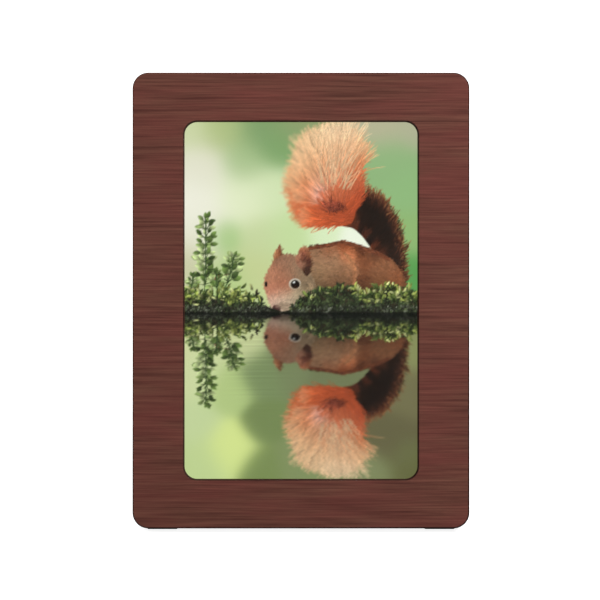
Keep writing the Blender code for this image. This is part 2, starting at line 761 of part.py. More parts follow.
# Bracket, main board and screws -------------------------------------------------------------------
def build_bracket():
    bracket = piece(
        "display_bracket",
        panel(bracket_width, bracket_height, bracket_front, bracket_back, POCKET_CORNER - GAP, 3),
        steel,
    )
    right = bracket_width / 2 - BRACKET_BORDER
    low = MIDDLE - bracket_height / 2 + BRACKET_BORDER
    high = MIDDLE + bracket_height / 2 - BRACKET_BORDER
    rib = BRACKET_RIB / 2
    flex_low = MIDDLE - glass_height / 2 - FLEX_LOOP - FLEX - 2 * GAP
    windows = [
        (-right, low, -rib, MIDDLE - rib),
        (-right, MIDDLE + rib, -rib, high),
        (rib, board_top + rib, right, high),
        (
            touch_flex_x - TOUCH_FLEX_WIDTH / 2 - PAST,
            flex_low,
            lcd_flex_x + LCD_FLEX_WIDTH / 2 + PAST,
            flex_low + FLEX_WINDOW,
        ),
    ]
    depths = (bracket_front - PAST, bracket_back + PAST)
    cutters = []
    for x0, z0, x1, z1 in windows:
        middle = ((x0 + x1) / 2, (z0 + z1) / 2)
        outline = rounded_rectangle(x1 - x0, z1 - z0, WINDOW_CORNER, middle, steps=3)
        cutters.append(flat_outline([outline], "Y", *depths))
    hole = SCREW_SHANK + GAP
    cutters += [cylinder("Y", place, *depths, hole, 12) for place in bracket_screw_places]
    cut(bracket, "windows", *cutters)
    posts = [
        cylinder("Y", place, bracket_back - BRACKET / 2, board_front - GAP, STANDOFF, 12)
        for place in board_screw_places
    ]
    join(bracket, "standoffs", *posts)
    threads = [
        cylinder("Y", place, depths[0], board_front + PAST, hole, 8)
        for place in board_screw_places
    ]
    cut(bracket, "threads", *threads)


def screw(name, place, seat, length, head=SCREW_HEAD, head_height=SCREW_HEAD_HEIGHT):
    """A pan-head screw driven towards the front, with its head just off its seat."""
    head_front = seat + GAP
    head_back = head_front + head_height
    shank = cylinder("Y", place, seat - length, head_front + head_height / 2, SCREW_SHANK, 10)
    made = piece(name, shank, steel)
    join(made, "head", cylinder("Y", place, head_front, head_back, head, 14))
    reach, width = 0.62 * head, 0.22 * head
    floor = head_front + head_height * 0.45
    x, z = place
    for label, dx, dz in (("slot_across", reach, width), ("slot_upright", width, reach)):
        cut(made, label, box((x - dx, floor, z - dz), (x + dx, head_back + PAST, z + dz)))


def build_screws():
    for i, place in enumerate(bracket_screw_places, 1):
        screw(f"bracket_screw_{i}", place, bracket_back, BRACKET_SCREW_LENGTH)
    for i, place in enumerate(board_screw_places, 1):
        screw(f"board_screw_{i}", place, board_back, BOARD_SCREW_LENGTH)
    seat = cover_front + COVER_SCREW_SEAT
    length = COVER_SCREW_SEAT + COVER_SCREW_GRIP
    for i, place in enumerate(cover_screw_places, 1):
        name = f"cover_screw_{i}"
        screw(name, place, seat, length, COVER_SCREW_HEAD, COVER_SCREW_HEAD_HEIGHT)


def on_board(name, corner, size, depth, material):
    """A block on the board: its low corner from the board's own, its (width, height) and depth."""
    x, z = board_inner + corner[0], BOARD_LOW + corner[1]
    shape = box((x, parts_front, z), (x + size[0], parts_front + depth, z + size[1]))
    return piece(name, shape, material)


def build_board():
    blank = box((board_inner, board_front, BOARD_LOW), (board_outer, board_back, board_top))
    board = piece("main_board", blank, board_green)
    depths = (board_front - PAST, board_back + PAST)
    hole = SCREW_SHANK + GAP
    cut(
        board,
        "screw_holes",
        *[cylinder("Y", place, *depths, hole, 12) for place in board_screw_places],
    )

    corner = (4 * MM, 44 * MM)
    can = on_board("shield_can", corner, (CAN, CAN), CAN_HEIGHT, steel)
    x, z = board_inner + corner[0], BOARD_LOW + corner[1]
    room = box(
        (x + CAN_WALL, parts_front - PAST, z + CAN_WALL),
        (x + CAN - CAN_WALL, parts_front + CAN_HEIGHT - CAN_WALL, z + CAN - CAN_WALL),
    )
    cut(can, "inside", room)
    chip = CAN - 2 * CAN_MARGIN
    chip_corner = (corner[0] + CAN_MARGIN, corner[1] + CAN_MARGIN)
    on_board("processor", chip_corner, (chip, chip), CAN_HEIGHT / 2, chip_black)
    on_board("memory_chip", (5 * MM, 69 * MM), (11 * MM, 13 * MM), 1.2 * MM, chip_black)
    on_board("wifi_module", (13 * MM, 85 * MM), (12 * MM, 12 * MM), 2.0 * MM, steel)

    low_x = touch_flex_x - TOUCH_FLEX_WIDTH / 2 - CONNECTOR_MARGIN
    high_x = lcd_flex_x + LCD_FLEX_WIDTH / 2 + CONNECTOR_MARGIN
    connector = on_board(
        "display_connector",
        (low_x - board_inner, CONNECTOR_MARGIN),
        (high_x - low_x, CONNECTOR_HEIGHT),
        CONNECTOR_DEPTH,
        white_plastic,
    )
    slit = FLEX / 2 + GAP
    mouths = [
        box(
            (x - width / 2 - GAP, ribbon_end_depth - slit, BOARD_LOW - PAST),
            (x + width / 2 + GAP, ribbon_end_depth + slit, BOARD_LOW + 2.2 * MM),
        )
        for x, width in ribbons
    ]
    cut(connector, "mouths", *mouths)


# Sockets -----------------------------------------------------------------------------------------
socket_mouth = cover_side_inside - SOCKET_SETBACK


def socket_block(rise, length, width, height, inset=0.0):
    """A block on the board's outer edge, middle at rise, shrunk by inset all round but its mouth."""
    z = BOARD_LOW + rise
    half = width / 2 - inset
    return box(
        (socket_mouth - length + inset, parts_front + inset, z - half),
        (socket_mouth, parts_front + height - inset, z + half),
    )


def build_power_jack():
    jack = piece(
        "dc_jack", socket_block(JACK_RISE, JACK_LENGTH, JACK_SIDE, JACK_SIDE), black_plastic
    )
    centre = (parts_front + JACK_SIDE / 2, BOARD_LOW + JACK_RISE)
    bottom = socket_mouth - JACK_BORE_DEPTH
    cut(jack, "bore", cylinder("X", centre, bottom, socket_mouth + PAST, JACK_BORE, 16))
    pin = cylinder("X", centre, bottom - 1 * MM, socket_mouth - 1 * MM, JACK_PIN, 8)
    join(jack, "centre_pin", pin)


def build_usb_socket():
    shell = piece("usb_shell", socket_block(USB_RISE, USB_LENGTH, USB_WIDTH, USB_HEIGHT), steel)
    z = BOARD_LOW + USB_RISE
    half = USB_WIDTH / 2 - USB_WALL
    back = socket_mouth - USB_LENGTH
    bore = box(
        (back - PAST, parts_front + USB_WALL, z - half),
        (socket_mouth + PAST, parts_front + USB_HEIGHT - USB_WALL, z + half),
    )
    cut(shell, "inside", bore)
    block = box(
        (back + GAP, parts_front + USB_WALL + GAP, z - half + GAP),
        (back + USB_BLOCK, parts_front + USB_HEIGHT - USB_WALL - GAP, z + half - GAP),
    )
    tongue = piece("usb_tongue", block, white_plastic)
    blade_front = parts_front + USB_WALL + 2 * GAP
    blade = box(
        (back + USB_BLOCK / 2, blade_front, z - USB_BLADE_WIDTH / 2),
        (socket_mouth - 1.5 * MM, blade_front + USB_BLADE, z + USB_BLADE_WIDTH / 2),
    )
    join(tongue, "blade", blade)


def build_card_socket():
    card = piece("card_socket", socket_block(CARD_RISE, CARD_LENGTH, CARD_WIDTH, CARD_HEIGHT), steel)
    z = BOARD_LOW + CARD_RISE
    half = CARD_WIDTH / 2 - CARD_SIDE_WALL
    slot = box(
        (socket_mouth - CARD_LENGTH + PAST, parts_front + CARD_WALL, z - half),
        (socket_mouth + PAST, parts_front + CARD_HEIGHT - CARD_WALL / 2, z + half),
    )
    cut(card, "slot", slot)


# Buttons ------------------------------------------------------------------------------------------
def build_button_board():
    low = min(button_rises.values()) - BUTTON_BOARD_MARGIN
    high = max(button_rises.values()) + BUTTON_BOARD_MARGIN
    face = switch_back - GAP
    half = (cover_inside - cover_front) / 2 - BUTTON_BOARD_ROOM
    shape = box(
        (face - BUTTON_BOARD, button_depth - half, low), (face, button_depth + half, high)
    )
    piece("button_board", shape, board_green)


def build_button(label, rise):
    """A switch, the plunger in its well, and the cap that reaches out through the cover."""
    centre = (button_depth, rise)
    half = SWITCH / 2
    body = box(
        (switch_back, button_depth - half, rise - half),
        (switch_front, button_depth + half, rise + half),
    )
    switch = piece(f"{label}_switch", body, chip_black)
    well_floor = switch_front - SWITCH_WELL
    well = cylinder("X", centre, well_floor, switch_front + PAST, PLUNGER + GAP, 12)
    cut(switch, "well", well)

    axis = new_empty(f"{label}_button_axis", frame_axes, (cover_side, *centre))
    root = well_floor + BUTTON_TRAVEL + GAP - cover_side
    tip = plunger_tip - cover_side
    plunger = cylinder("X", (0, 0), root, tip, PLUNGER, 12)
    piece(f"{label}_plunger", plunger, white_plastic, axis)

    flange_face = cap_inner_face - cover_side
    outline = rounded_rectangle(BUTTON_WIDTH, BUTTON_LENGTH, round_end(BUTTON_WIDTH))
    cap = piece(
        f"{label}_button",
        flat_outline([outline], "X", flange_face + BUTTON_FLANGE / 2, BUTTON_PROUD),
        black_plastic,
        axis,
    )
    round_edges(cap, BUTTON_EDGE, 2)
    flange = rounded_rectangle(
        BUTTON_WIDTH + 2 * BUTTON_FLANGE,
        BUTTON_LENGTH + 2 * BUTTON_FLANGE,
        BUTTON_WIDTH / 2,
        steps=3,
    )
    join(cap, "flange", flat_outline([flange], "X", flange_face, flange_face + BUTTON_FLANGE))
    stem = cylinder("X", (0, 0), tip + GAP, flange_face + BUTTON_FLANGE / 2, PLUNGER, 12)
    join(cap, "stem", stem)


# Rear cover ---------------------------------------------------------------------------------------
def slot_row(centre, count, length, depths):
    """A row of upright round-ended slots, side by side."""
    slots = []
    for i in range(count):
        x = centre[0] + (i - (count - 1) / 2) * SLOT_PITCH
        outline = rounded_rectangle(SLOT, length, round_end(SLOT), (x, centre[1]), steps=2)
        slots.append(flat_outline([outline], "Y", *depths))
    return slots


def cover_shell():
    """A shallow tray, open to the front, with its back edges rounded over."""
    skirt = 2 * COVER_EDGE  # keeps the bevel of the front edges clear of the shell
    outline = rounded_rectangle(cover_width, cover_height, COVER_CORNER, (0, MIDDLE), steps=6)
    shape = flat_outline([outline], "Y", cover_front - skirt, cover_back)
    cover = piece("rear_cover", shape, black_plastic)
    round_edges(cover, COVER_EDGE, 3)
    far = FRONT_WIDTH + FRONT_HEIGHT
    cut(cover, "seat", box((-far, cover_front - 2 * skirt, -far), (far, cover_front, far)))
    inside = panel(
        cover_width - 2 * COVER_WALL,
        cover_height - 2 * COVER_WALL,
        cover_front - skirt,
        cover_inside,
        COVER_CORNER - COVER_WALL,
        5,
    )
    cut(cover, "inside", inside)
    return cover


def add_leg_pocket(cover):
    """A channel for the folded leg, open to the back and at the bottom, with finger notches."""
    into_back = cover_back - COVER_WALL / 2
    outer = pocket_half_width + POCKET_WALL
    tunnel = box(
        (-outer, pocket_floor - POCKET_WALL, cover_low + COVER_WALL / 2),
        (outer, into_back, pocket_top + POCKET_WALL),
    )
    bosses = [
        cylinder("Y", place, cover_front, into_back, COVER_BOSS, 20)
        for place in cover_screw_places
    ]
    join(cover, "bosses_and_tunnel", tunnel, *bosses)
    places = [(side * pocket_half_width, FINGER_NOTCH_RISE) for side in (-1, 1)]
    wall_front = pocket_floor - POCKET_WALL / 2
    walls = [
        cylinder("Y", place, wall_front, into_back, FINGER_NOTCH + POCKET_WALL, 20)
        for place in places
    ]
    join(cover, "finger_notch_walls", *walls)
    room = box(
        (-pocket_half_width, pocket_floor, cover_low - PAST),
        (pocket_half_width, cover_back + PAST, pocket_top),
    )
    cut(cover, "leg_pocket", room)
    notch_floor = wall_front + POCKET_WALL
    notches = [
        cylinder("Y", place, notch_floor, cover_back + PAST, FINGER_NOTCH, 20) for place in places
    ]
    cut(cover, "finger_notches", *notches)
    reach = outer + PAST
    centre = (hinge_depth, HINGE_RISE)
    cut(cover, "hinge_hole", cylinder("X", centre, -reach, reach, PIN + GAP, 16))


def add_screw_holes(cover):
    back = cover_back + PAST
    hole = SCREW_SHANK + GAP
    shanks = [
        cylinder("Y", place, cover_front - PAST, back, hole, 12) for place in cover_screw_places
    ]
    cut(cover, "screw_holes", *shanks)
    seat = cover_front + COVER_SCREW_SEAT
    heads = [cylinder("Y", place, seat, back, COUNTERBORE, 20) for place in cover_screw_places]
    cut(cover, "counterbores", *heads)


def add_slots(cover):
    """Speaker grilles, vents and keyholes through the back."""
    depths = (cover_inside - PAST, cover_back + PAST)
    vent_rise = FRONT_HEIGHT - VENT_DROP
    slots = []
    for side in (-1, 1):
        slots += slot_row((side * speaker_x, SPEAKER_RISE), GRILLE_SLOTS, GRILLE_LENGTH, depths)
        vent_x = side * (cover_side - VENT_INSET)
        slots += slot_row((vent_x, vent_rise), VENT_SLOTS, VENT_LENGTH, depths)
    for place, direction in hanger_places.values():
        slots.append(flat_outline([keyhole(place, direction)], "Y", *depths))
    cut(cover, "slots_and_keyholes", *slots)


def add_side_holes(cover):
    """Holes in the right-hand wall for the sockets and buttons."""
    through = (cover_side_inside - SOCKET_SETBACK / 2, cover_side + PAST)
    jack_centre = (parts_front + JACK_SIDE / 2, BOARD_LOW + JACK_RISE)
    holes = [cylinder("X", jack_centre, *through, JACK_HOLE, 20)]
    for rise, width, height, clearance in (
        (USB_RISE, USB_WIDTH, USB_HEIGHT, PORT_CLEARANCE),
        (CARD_RISE, CARD_WIDTH - CARD_SIDE_WALL, CARD_HEIGHT, 0.0),
    ):
        half = width / 2 + clearance
        z = BOARD_LOW + rise
        low = (through[0], parts_front - clearance, z - half)
        high = (through[1], parts_front + height + clearance, z + half)
        holes.append(box(low, high))
    width, length = BUTTON_WIDTH + 2 * GAP, BUTTON_LENGTH + 2 * GAP
    for rise in button_rises.values():
        outline = rounded_rectangle(width, length, round_end(width), (button_depth, rise))
        holes.append(flat_outline([outline], "X", *through))
    cut(cover, "side_holes", *holes)


def build_cover():
    cover = cover_shell()
    add_leg_pocket(cover)
    add_screw_holes(cover)
    add_slots(cover)
    add_side_holes(cover)


def build_hangers():
    """Steel plates behind the cover's keyholes, one for each way up."""
    back = cover_inside - GAP
    for label, (place, direction) in hanger_places.items():
        shift = KEY_TRAVEL / 2
        middle = (place[0] + direction[0] * shift, place[1] + direction[1] * shift)
        upright = direction[1] != 0
        size = (HANGER_WIDTH, HANGER_LENGTH) if upright else (HANGER_LENGTH, HANGER_WIDTH)
        outline = rounded_rectangle(*size, 2 * MM, middle, steps=3)
        loops = [outline, keyhole(place, direction, -HANGER_SHOWS)]
        piece(f"hanger_plate_{label}", flat_outline(loops, "Y", back - HANGER, back), steel)


# Speakers, antenna and their leads -----------------------------------------------------------------
def build_speakers():
    back = cover_inside - GAP
    for label, side in (("left", -1), ("right", 1)):
        centre = (side * speaker_x, SPEAKER_RISE)
        outline = rounded_rectangle(SPEAKER_LENGTH, SPEAKER_WIDTH, 5 * MM, centre, steps=4)
        body = flat_outline([outline], "Y", back - SPEAKER_DEPTH, back)
        speaker = piece(f"speaker_{label}", body, chip_black)

        def cone(inset):
            shrink = 2 * (SPEAKER_RIM + inset)
            width, height = SPEAKER_LENGTH - shrink, SPEAKER_WIDTH - shrink
            return rounded_rectangle(width, height, 3 * MM, centre)

        flare = CONE_SLOPE * PAST / CONE_DEPTH
        wide, narrow = cone(-min(flare, SPEAKER_RIM / 2)), cone(CONE_SLOPE)
        cut(speaker, "cone", tapered(narrow, back - CONE_DEPTH, wide, back + PAST / 2))


def build_speaker_leads():
    """Leads from the top of one speaker and the side of the other to the board's inner edge."""
    back = cover_inside - GAP
    top = SPEAKER_RISE + SPEAKER_WIDTH / 2
    side = speaker_x - SPEAKER_LENGTH / 2
    over_bracket = bracket_back + 2.0 * MM
    over_board = board_back + 1.2 * MM
    beside_board = board_inner - 1.4 * MM
    wire(
        "speaker_cable_left",
        [
            (-speaker_x + 4 * MM, back - 2.4 * MM, top + 1 * MM),
            (-speaker_x + 7 * MM, back - 3.6 * MM, top + 3 * MM),
            (-speaker_x + 13 * MM, back - 7 * MM, top + 4.5 * MM),
            (-speaker_x + 21 * MM, over_bracket, top + 6 * MM),
            (0, over_bracket, top + 14 * MM),
            (board_inner - 12 * MM, over_bracket, BOARD_LOW + 29 * MM),
            (beside_board, over_bracket, BOARD_LOW + 34 * MM),
            (beside_board, over_board - 1 * MM, BOARD_LOW + 38 * MM),
            (board_inner + 4 * MM, over_board, BOARD_LOW + 41 * MM),
        ],
        LEAD,
        chip_black,
    )
    wire(
        "speaker_cable_right",
        [
            (side - 1 * MM, back - 3 * MM, SPEAKER_RISE + 1 * MM),
            (side - 3 * MM, back - 4 * MM, SPEAKER_RISE + 2 * MM),
            (side - 4 * MM, board_front + LEAD, SPEAKER_RISE + 4 * MM),
            (beside_board - 1 * MM, over_bracket, SPEAKER_RISE + 9 * MM),
            (beside_board, over_bracket, BOARD_LOW + 1.5 * MM),
            (beside_board, over_board - 1 * MM, BOARD_LOW + 6 * MM),
            (board_inner + 4 * MM, over_board, BOARD_LOW + 9.5 * MM),
        ],
        LEAD,
        chip_black,
    )


def build_antenna():
    back = cover_inside - GAP
    rise = FRONT_HEIGHT - ANTENNA_DROP
    strip = box(
        (ANTENNA_X - ANTENNA_WIDTH / 2, back - FLEX, rise - ANTENNA_HEIGHT / 2),
        (ANTENNA_X + ANTENNA_WIDTH / 2, back, rise + ANTENNA_HEIGHT / 2),
    )
    piece("wifi_antenna", strip, flex_film)
    lead = 0.8 * LEAD
    wire(
        "antenna_cable",
        [
            (ANTENNA_X, back - FLEX - GAP - lead, rise - 2.5 * MM),
            (ANTENNA_X + 1 * MM, back - 4 * MM, rise - 12.5 * MM),
            (board_inner + 2 * MM, bracket_back + 3.5 * MM, board_top + 56 * MM),
            (board_inner + 5 * MM, bracket_back + 4.0 * MM, board_top + 28 * MM),
            (board_inner + 13 * MM, board_back + 2.2 * MM, board_top + 5 * MM),
            (board_inner + 19 * MM, board_back + 3.8 * MM, board_top - 6 * MM),
        ],
        lead,
        chip_black,
    )


# Stand --------------------------------------------------------------------------------------------
def build_hinge():
    centre = (hinge_depth, HINGE_RISE)
    reach = pocket_half_width + POCKET_WALL - GAP
    pin = cylinder("X", centre, -reach, reach, PIN, 16)
    piece("hinge_pin", pin, steel, origin=(0, *centre))
    inner = LEG_WIDTH / 2 + (LEG_SIDE_GAP - WASHER) / 2
    for label, low in (("left", -inner - WASHER), ("right", inner)):
        loops = [circle(centre, WASHER_OUTER), circle(centre, PIN + RUNNING, 12)]
        piece(f"hinge_washer_{label}", flat_outline(loops, "X", low, low + WASHER), white_plastic)


def build_leg():
    """The leg and its foot, in axes whose zero is the hinge and whose -Z runs down the leg."""
    leg_axis = new_empty("leg_axis", frame_axes, (0, hinge_depth, HINGE_RISE))
    leg_axis.rotation_euler.x = LEG_OPEN
    end = leg_sole(0) - LEG_FOOT
    half, tip = LEG_WIDTH / 2, LEG_TIP_WIDTH / 2
    outline = [
        (half, leg_tail),
        (-half, leg_tail),
        (-half, -LEG_SHOULDER),
        (-tip, -end),
        (tip, -end),
        (half, -LEG_SHOULDER),
    ]
    shape = flat_outline([outline], "Y", -LEG / 2, LEG / 2)
    leg = piece("stand_leg", shape, black_plastic, leg_axis)
    round_edges(leg, LEG_EDGE, 2)
    cut(leg, "pin_hole", cylinder("X", (0, 0), -LEG_WIDTH, LEG_WIDTH, PIN + RUNNING, 16))
    hollow_height = end - HOLLOW_TOP - HOLLOW_END
    hollow_middle = (0, -HOLLOW_TOP - hollow_height / 2)
    hollow_width = LEG_TIP_WIDTH - 2 * HOLLOW_BORDER
    hollow = rounded_rectangle(hollow_width, hollow_height, 4 * MM, hollow_middle, steps=4)
    cut(leg, "inner_hollow", flat_outline([hollow], "Y", -LEG, LEG / 2 - LEG_SKIN))

    wide = tip - TENON_SHOULDER
    thick = TENON_THICKNESS / 2
    mortise = box(
        (-wide - GAP, -thick - GAP, -end - PAST), (wide + GAP, thick + GAP, -end + FOOT_TENON + GAP)
    )
    cut(leg, "foot_mortise", mortise)
    inner, outer = -LEG / 2, LEG / 2
    profile = [
        (inner, -leg_sole(inner)),
        (outer, -leg_sole(outer)),
        (outer, -end - GAP),
        (inner, -end - GAP),
    ]
    foot = piece("leg_foot", flat_outline([profile], "X", -tip, tip), rubber, leg_axis)
    tenon = box((-wide, -thick, -end - 2 * GAP), (wide, thick, -end + FOOT_TENON))
    join(foot, "tenon", tenon)


# Setting it down ------------------------------------------------------------------------------------
def set_down():
    """Leans the frame back and puts the middle of its footprint at the world's origin."""
    frame_axes.rotation_euler.x = -LEAN
    graph = bpy.context.evaluated_depsgraph_get()
    graph.update()
    corners = []
    for made in piece_collection.objects:
        if made.type in ("MESH", "CURVE"):
            evaluated = made.evaluated_get(graph)
            mesh = evaluated.to_mesh()
            corners += [evaluated.matrix_world @ v.co for v in mesh.vertices]
            evaluated.to_mesh_clear()
    low = [min(c[i] for c in corners) for i in range(3)]
    high = [max(c[i] for c in corners) for i in range(3)]
    frame_axes.location = (-(low[0] + high[0]) / 2, -(low[1] + high[1]) / 2, -low[2])


def main():
    build_front()
    build_feet()
    build_glass_and_cell()
    build_backlight()
    build_display_case()
    build_ribbons()
    build_bracket()
    build_screws()
    build_board()
    build_power_jack()
    build_usb_socket()
    build_card_socket()
    build_button_board()
    for label, rise in button_rises.items():
        build_button(label, rise)
    build_cover()
    build_hangers()
    build_speakers()
    build_speaker_leads()
    build_antenna()
    build_hinge()
    build_leg()
    set_down()


main()
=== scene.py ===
"""Looks for the 10-inch digital photo frame: veneered front, picture on the display, moulded back.

New pieces are modelled in the frame's own axes, X across the front, Y from the front face to the
back and Z up the face from the middle of its bottom edge, and stand in the world by the matrix
LOCAL. Sizes are in metres.
"""

import json
import math

import bmesh
import bpy
import numpy as np
from mathutils import Matrix, Vector


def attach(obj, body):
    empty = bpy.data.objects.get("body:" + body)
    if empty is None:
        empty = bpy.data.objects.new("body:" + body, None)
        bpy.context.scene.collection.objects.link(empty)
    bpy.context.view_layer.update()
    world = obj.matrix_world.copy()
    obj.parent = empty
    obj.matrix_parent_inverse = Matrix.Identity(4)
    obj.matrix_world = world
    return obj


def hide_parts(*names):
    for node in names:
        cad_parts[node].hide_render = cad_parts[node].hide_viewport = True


MM = 0.001
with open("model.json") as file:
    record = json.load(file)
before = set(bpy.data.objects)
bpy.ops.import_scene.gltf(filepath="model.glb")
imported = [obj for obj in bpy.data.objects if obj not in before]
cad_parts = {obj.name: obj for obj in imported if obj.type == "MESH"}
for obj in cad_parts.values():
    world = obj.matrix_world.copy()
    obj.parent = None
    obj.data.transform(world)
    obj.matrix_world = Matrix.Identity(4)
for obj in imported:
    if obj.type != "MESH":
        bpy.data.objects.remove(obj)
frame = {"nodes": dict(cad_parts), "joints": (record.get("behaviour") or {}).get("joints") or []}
nodes = frame["nodes"]
bpy.context.view_layer.update()

# The frame's own axes ------------
LEAN = math.radians(14.0)
HINGE_DEPTH = 22.8 * MM  # of the leg's hinge behind the front face
HINGE_RISE = 158.0 * MM  # of the leg's hinge up the front
TURN = Matrix.Rotation(-LEAN, 4, "X")
hinge = Vector(next(j for j in frame["joints"] if j["name"] == "leg_hinge")["pos_m"])
LOCAL = Matrix.Translation(hinge - TURN @ Vector((0, HINGE_DEPTH, HINGE_RISE))) @ TURN

# Wooden front
FRONT_WIDTH = 203.0 * MM
FRONT_HEIGHT = 274.6 * MM
FRONT_DEPTH = 14.0 * MM
FRONT_CORNER = 9.6 * MM
FRONT_EDGE = 1.2 * MM
MIDDLE = FRONT_HEIGHT / 2
OPENING_WIDTH = 141.9 * MM
OPENING_HEIGHT = 216.6 * MM
OPENING_CORNER = 8.4 * MM
OPENING_EDGE = 0.3 * MM
LIP = 3.0 * MM  # thickness of the front round the opening
DRAFT = 0.75 * MM  # that the opening narrows by on each side, through the lip
POCKET = (160.9 * MM, 237.0 * MM)
POCKET_CORNER = 3.0 * MM
LEDGE_STEP = 6.0 * MM  # width of the ledge round the pocket, for the display's bracket
LEDGE_DEPTH = 10.05 * MM
HOLE_RADIUS = 1.6 * MM
HOLE_CLEARANCE = 0.3 * MM  # past a screw's tip
SEAT_CLEARANCE = 0.05 * MM  # round a foot
FACE_BORDER = 1.0 * MM  # flat ring beside the outer edge
OPENING_BORDER = 0.6 * MM  # flat ring beside the opening's edge
CORNER_STEPS, EDGE_STEPS, OPENING_STEPS, HOLE_STEPS = 12, 6, 3, 24
SMOOTH_BELOW = math.radians(32)

# Dark stain on its edges and sides, and painted shade on its right and bottom edges and on the opening's
# wall, as a share of full darkening
STAIN_START = 0.26  # share of the rounded edge that stays clean
PAINTED_SHADE_SHIFT = 0.3  # painted shade: that the start is nearer the face at the lower right
STAIN_FIRST = 0.02  # the nearest that it starts
STAIN_REACH = 0.35  # share of the edge over which it deepens
# Painted shade on the opening's wall
LIP_PAINTED_SHADE = 0.9
SIDE_STAIN = 0.6

# Display
CELL_FRONT = 5.35 * MM
CELL_BACK = 6.55 * MM
CELL_WIDTH = 149.9 * MM
CELL_HEIGHT = 226.0 * MM


def linear(r, g, b):
    """Colours given on the 0 to 255 scale, one or an array, as Blender's linear RGB."""
    share = np.stack([np.asarray(x, float) for x in (r, g, b)]) / 255
    return np.where(share <= 0.04045, share / 12.92, ((share + 0.055) / 1.055) ** 2.4)


def rgba(r, g, b):
    """The same with full opacity, for a shader's socket."""
    return (*(float(x) for x in linear(r, g, b)), 1.0)


# Node helpers ------------
class Finish:
    """A material with one Principled shader, and short calls to wire patterns into it."""

    def __init__(self, name, colour, roughness, metallic=0.0):
        self.material = bpy.data.materials.new(name)
        self.material.use_nodes = True
        self.tree = self.material.node_tree
        self.shader = self.tree.nodes["Principled BSDF"]
        self.set("Base Color", colour)
        self.set("Roughness", roughness)
        self.set("Metallic", metallic)

    def set(self, socket, value):
        self.shader.inputs[socket].default_value = value

    def node(self, kind, **inputs):
        made = self.tree.nodes.new("ShaderNode" + kind)
        for name, value in inputs.items():
            self.feed(made, name, value)
        return made

    def feed(self, node, name, value):
        socket = node.inputs[name if isinstance(name, int) else name.replace("_", " ")]
        if isinstance(value, bpy.types.NodeSocket):
            self.tree.links.new(value, socket)
        else:
            socket.default_value = value

    def math(self, operation, a, b):
        made = self.tree.nodes.new("ShaderNodeMath")
        made.operation = operation
        self.feed(made, 0, a)
        self.feed(made, 1, b)
        return made.outputs[0]

    def spot(self, scale=(1, 1, 1), turn=(0, 0, 0)):
        """The piece's own coordinates, turned and then stretched."""
        place = self.node("TexCoord").outputs["Object"]
        return self.node("Mapping", Vector=place, Scale=scale, Rotation=turn).outputs["Vector"]

    def noise(self, place, scale, detail=3.0, roughness=0.5):
        made = self.node("TexNoise", Vector=place, Scale=scale, Detail=detail, Roughness=roughness)
        return made.outputs["Fac"]

    def ramp(self, factor, *stops):
        """Colours, or greys, set at places along a factor."""
        made = self.node("ValToRGB", Fac=factor)
        points = made.color_ramp.elements
        for _ in range(len(stops) - 2):
            points.new(0.5)
        for point, (place, value) in zip(points, stops, strict=True):
            point.position = place
            point.color = (value, value, value, 1) if isinstance(value, (int, float)) else value
        return made.outputs["Color"]

    def mix(self, factor, a, b, blend="MIX"):
        made = self.tree.nodes.new("ShaderNodeMix")
        made.data_type, made.blend_type = "RGBA", blend
        for socket, value in ((0, factor), (6, a), (7, b)):
            self.feed(made, socket, value)
        return made.outputs[2]

    def bump(self, height, strength, distance):
        made = self.node("Bump", Height=height, Strength=strength, Distance=distance)
        self.link("Normal", made.outputs["Normal"])

    def link(self, socket, output):
        self.tree.links.new(output, self.shader.inputs[socket])


# Materials ------------
def wood_finish():
    """Reddish-brown veneer, its grain running across the front on all four sides.

    Each pattern is a noise stretched along the grain, by cycles to the metre along and across it.
    """
    f = Finish("wood_veneer", rgba(104, 66, 60), 0.6)
    f.set("Specular IOR Level", 0.08)
    wave = f.noise(f.spot((9, 9, 40)), 1.0, 2.0)
    lifted = f.node("CombineXYZ", Z=f.math("MULTIPLY", wave, 3 * MM)).outputs[0]
    place = f.node("VectorMath")
    place.operation = "ADD"
    f.tree.links.new(f.node("TexCoord").outputs["Object"], place.inputs[0])
    f.tree.links.new(lifted, place.inputs[1])
    place = place.outputs[0]

    def streaks(along, across, detail, roughness):
        spot = f.node("Mapping", Vector=place, Scale=(along, 40, across)).outputs["Vector"]
        return f.noise(spot, 1.0, detail, roughness)

    broad = streaks(13, 400, 3.0, 0.6)
    fine = streaks(22, 1000, 3.0, 0.6)
    pores = streaks(60, 2600, 2.0, 0.5)
    patch = streaks(16, 60, 2.0, 0.5)
    base = f.ramp(
        broad,
        (0.30, rgba(72, 40, 33)),
        (0.45, rgba(91, 54, 45)),
        (0.58, rgba(100, 62, 51)),
        (0.74, rgba(109, 69, 57)),
    )
    red = f.mix(f.ramp(patch, (0.38, 0.0), (0.66, 0.75)), base, rgba(102, 54, 48))
    grain = f.mix(0.5, red, f.ramp(fine, (0.32, 0.55), (0.68, 1.4)), "MULTIPLY")
    # The front's attribute gives dark stain on the edges and sides, and painted shade on the right and
    # bottom edges and on the opening's wall.
    stain_and_shade = f.node("Attribute")
    stain_and_shade.attribute_name = "stain_and_shade"
    stained_and_shaded = f.mix(stain_and_shade.outputs["Fac"], grain, rgba(34, 19, 17))
    f.link("Base Color", stained_and_shaded)
    f.link("Roughness", f.ramp(fine, (0.3, 0.68), (0.7, 0.56)))
    height = f.math("ADD", f.math("MULTIPLY", fine, 0.6), f.math("MULTIPLY", pores, 0.4))
    f.bump(height, 0.35, 0.12 * MM)
    return f.material


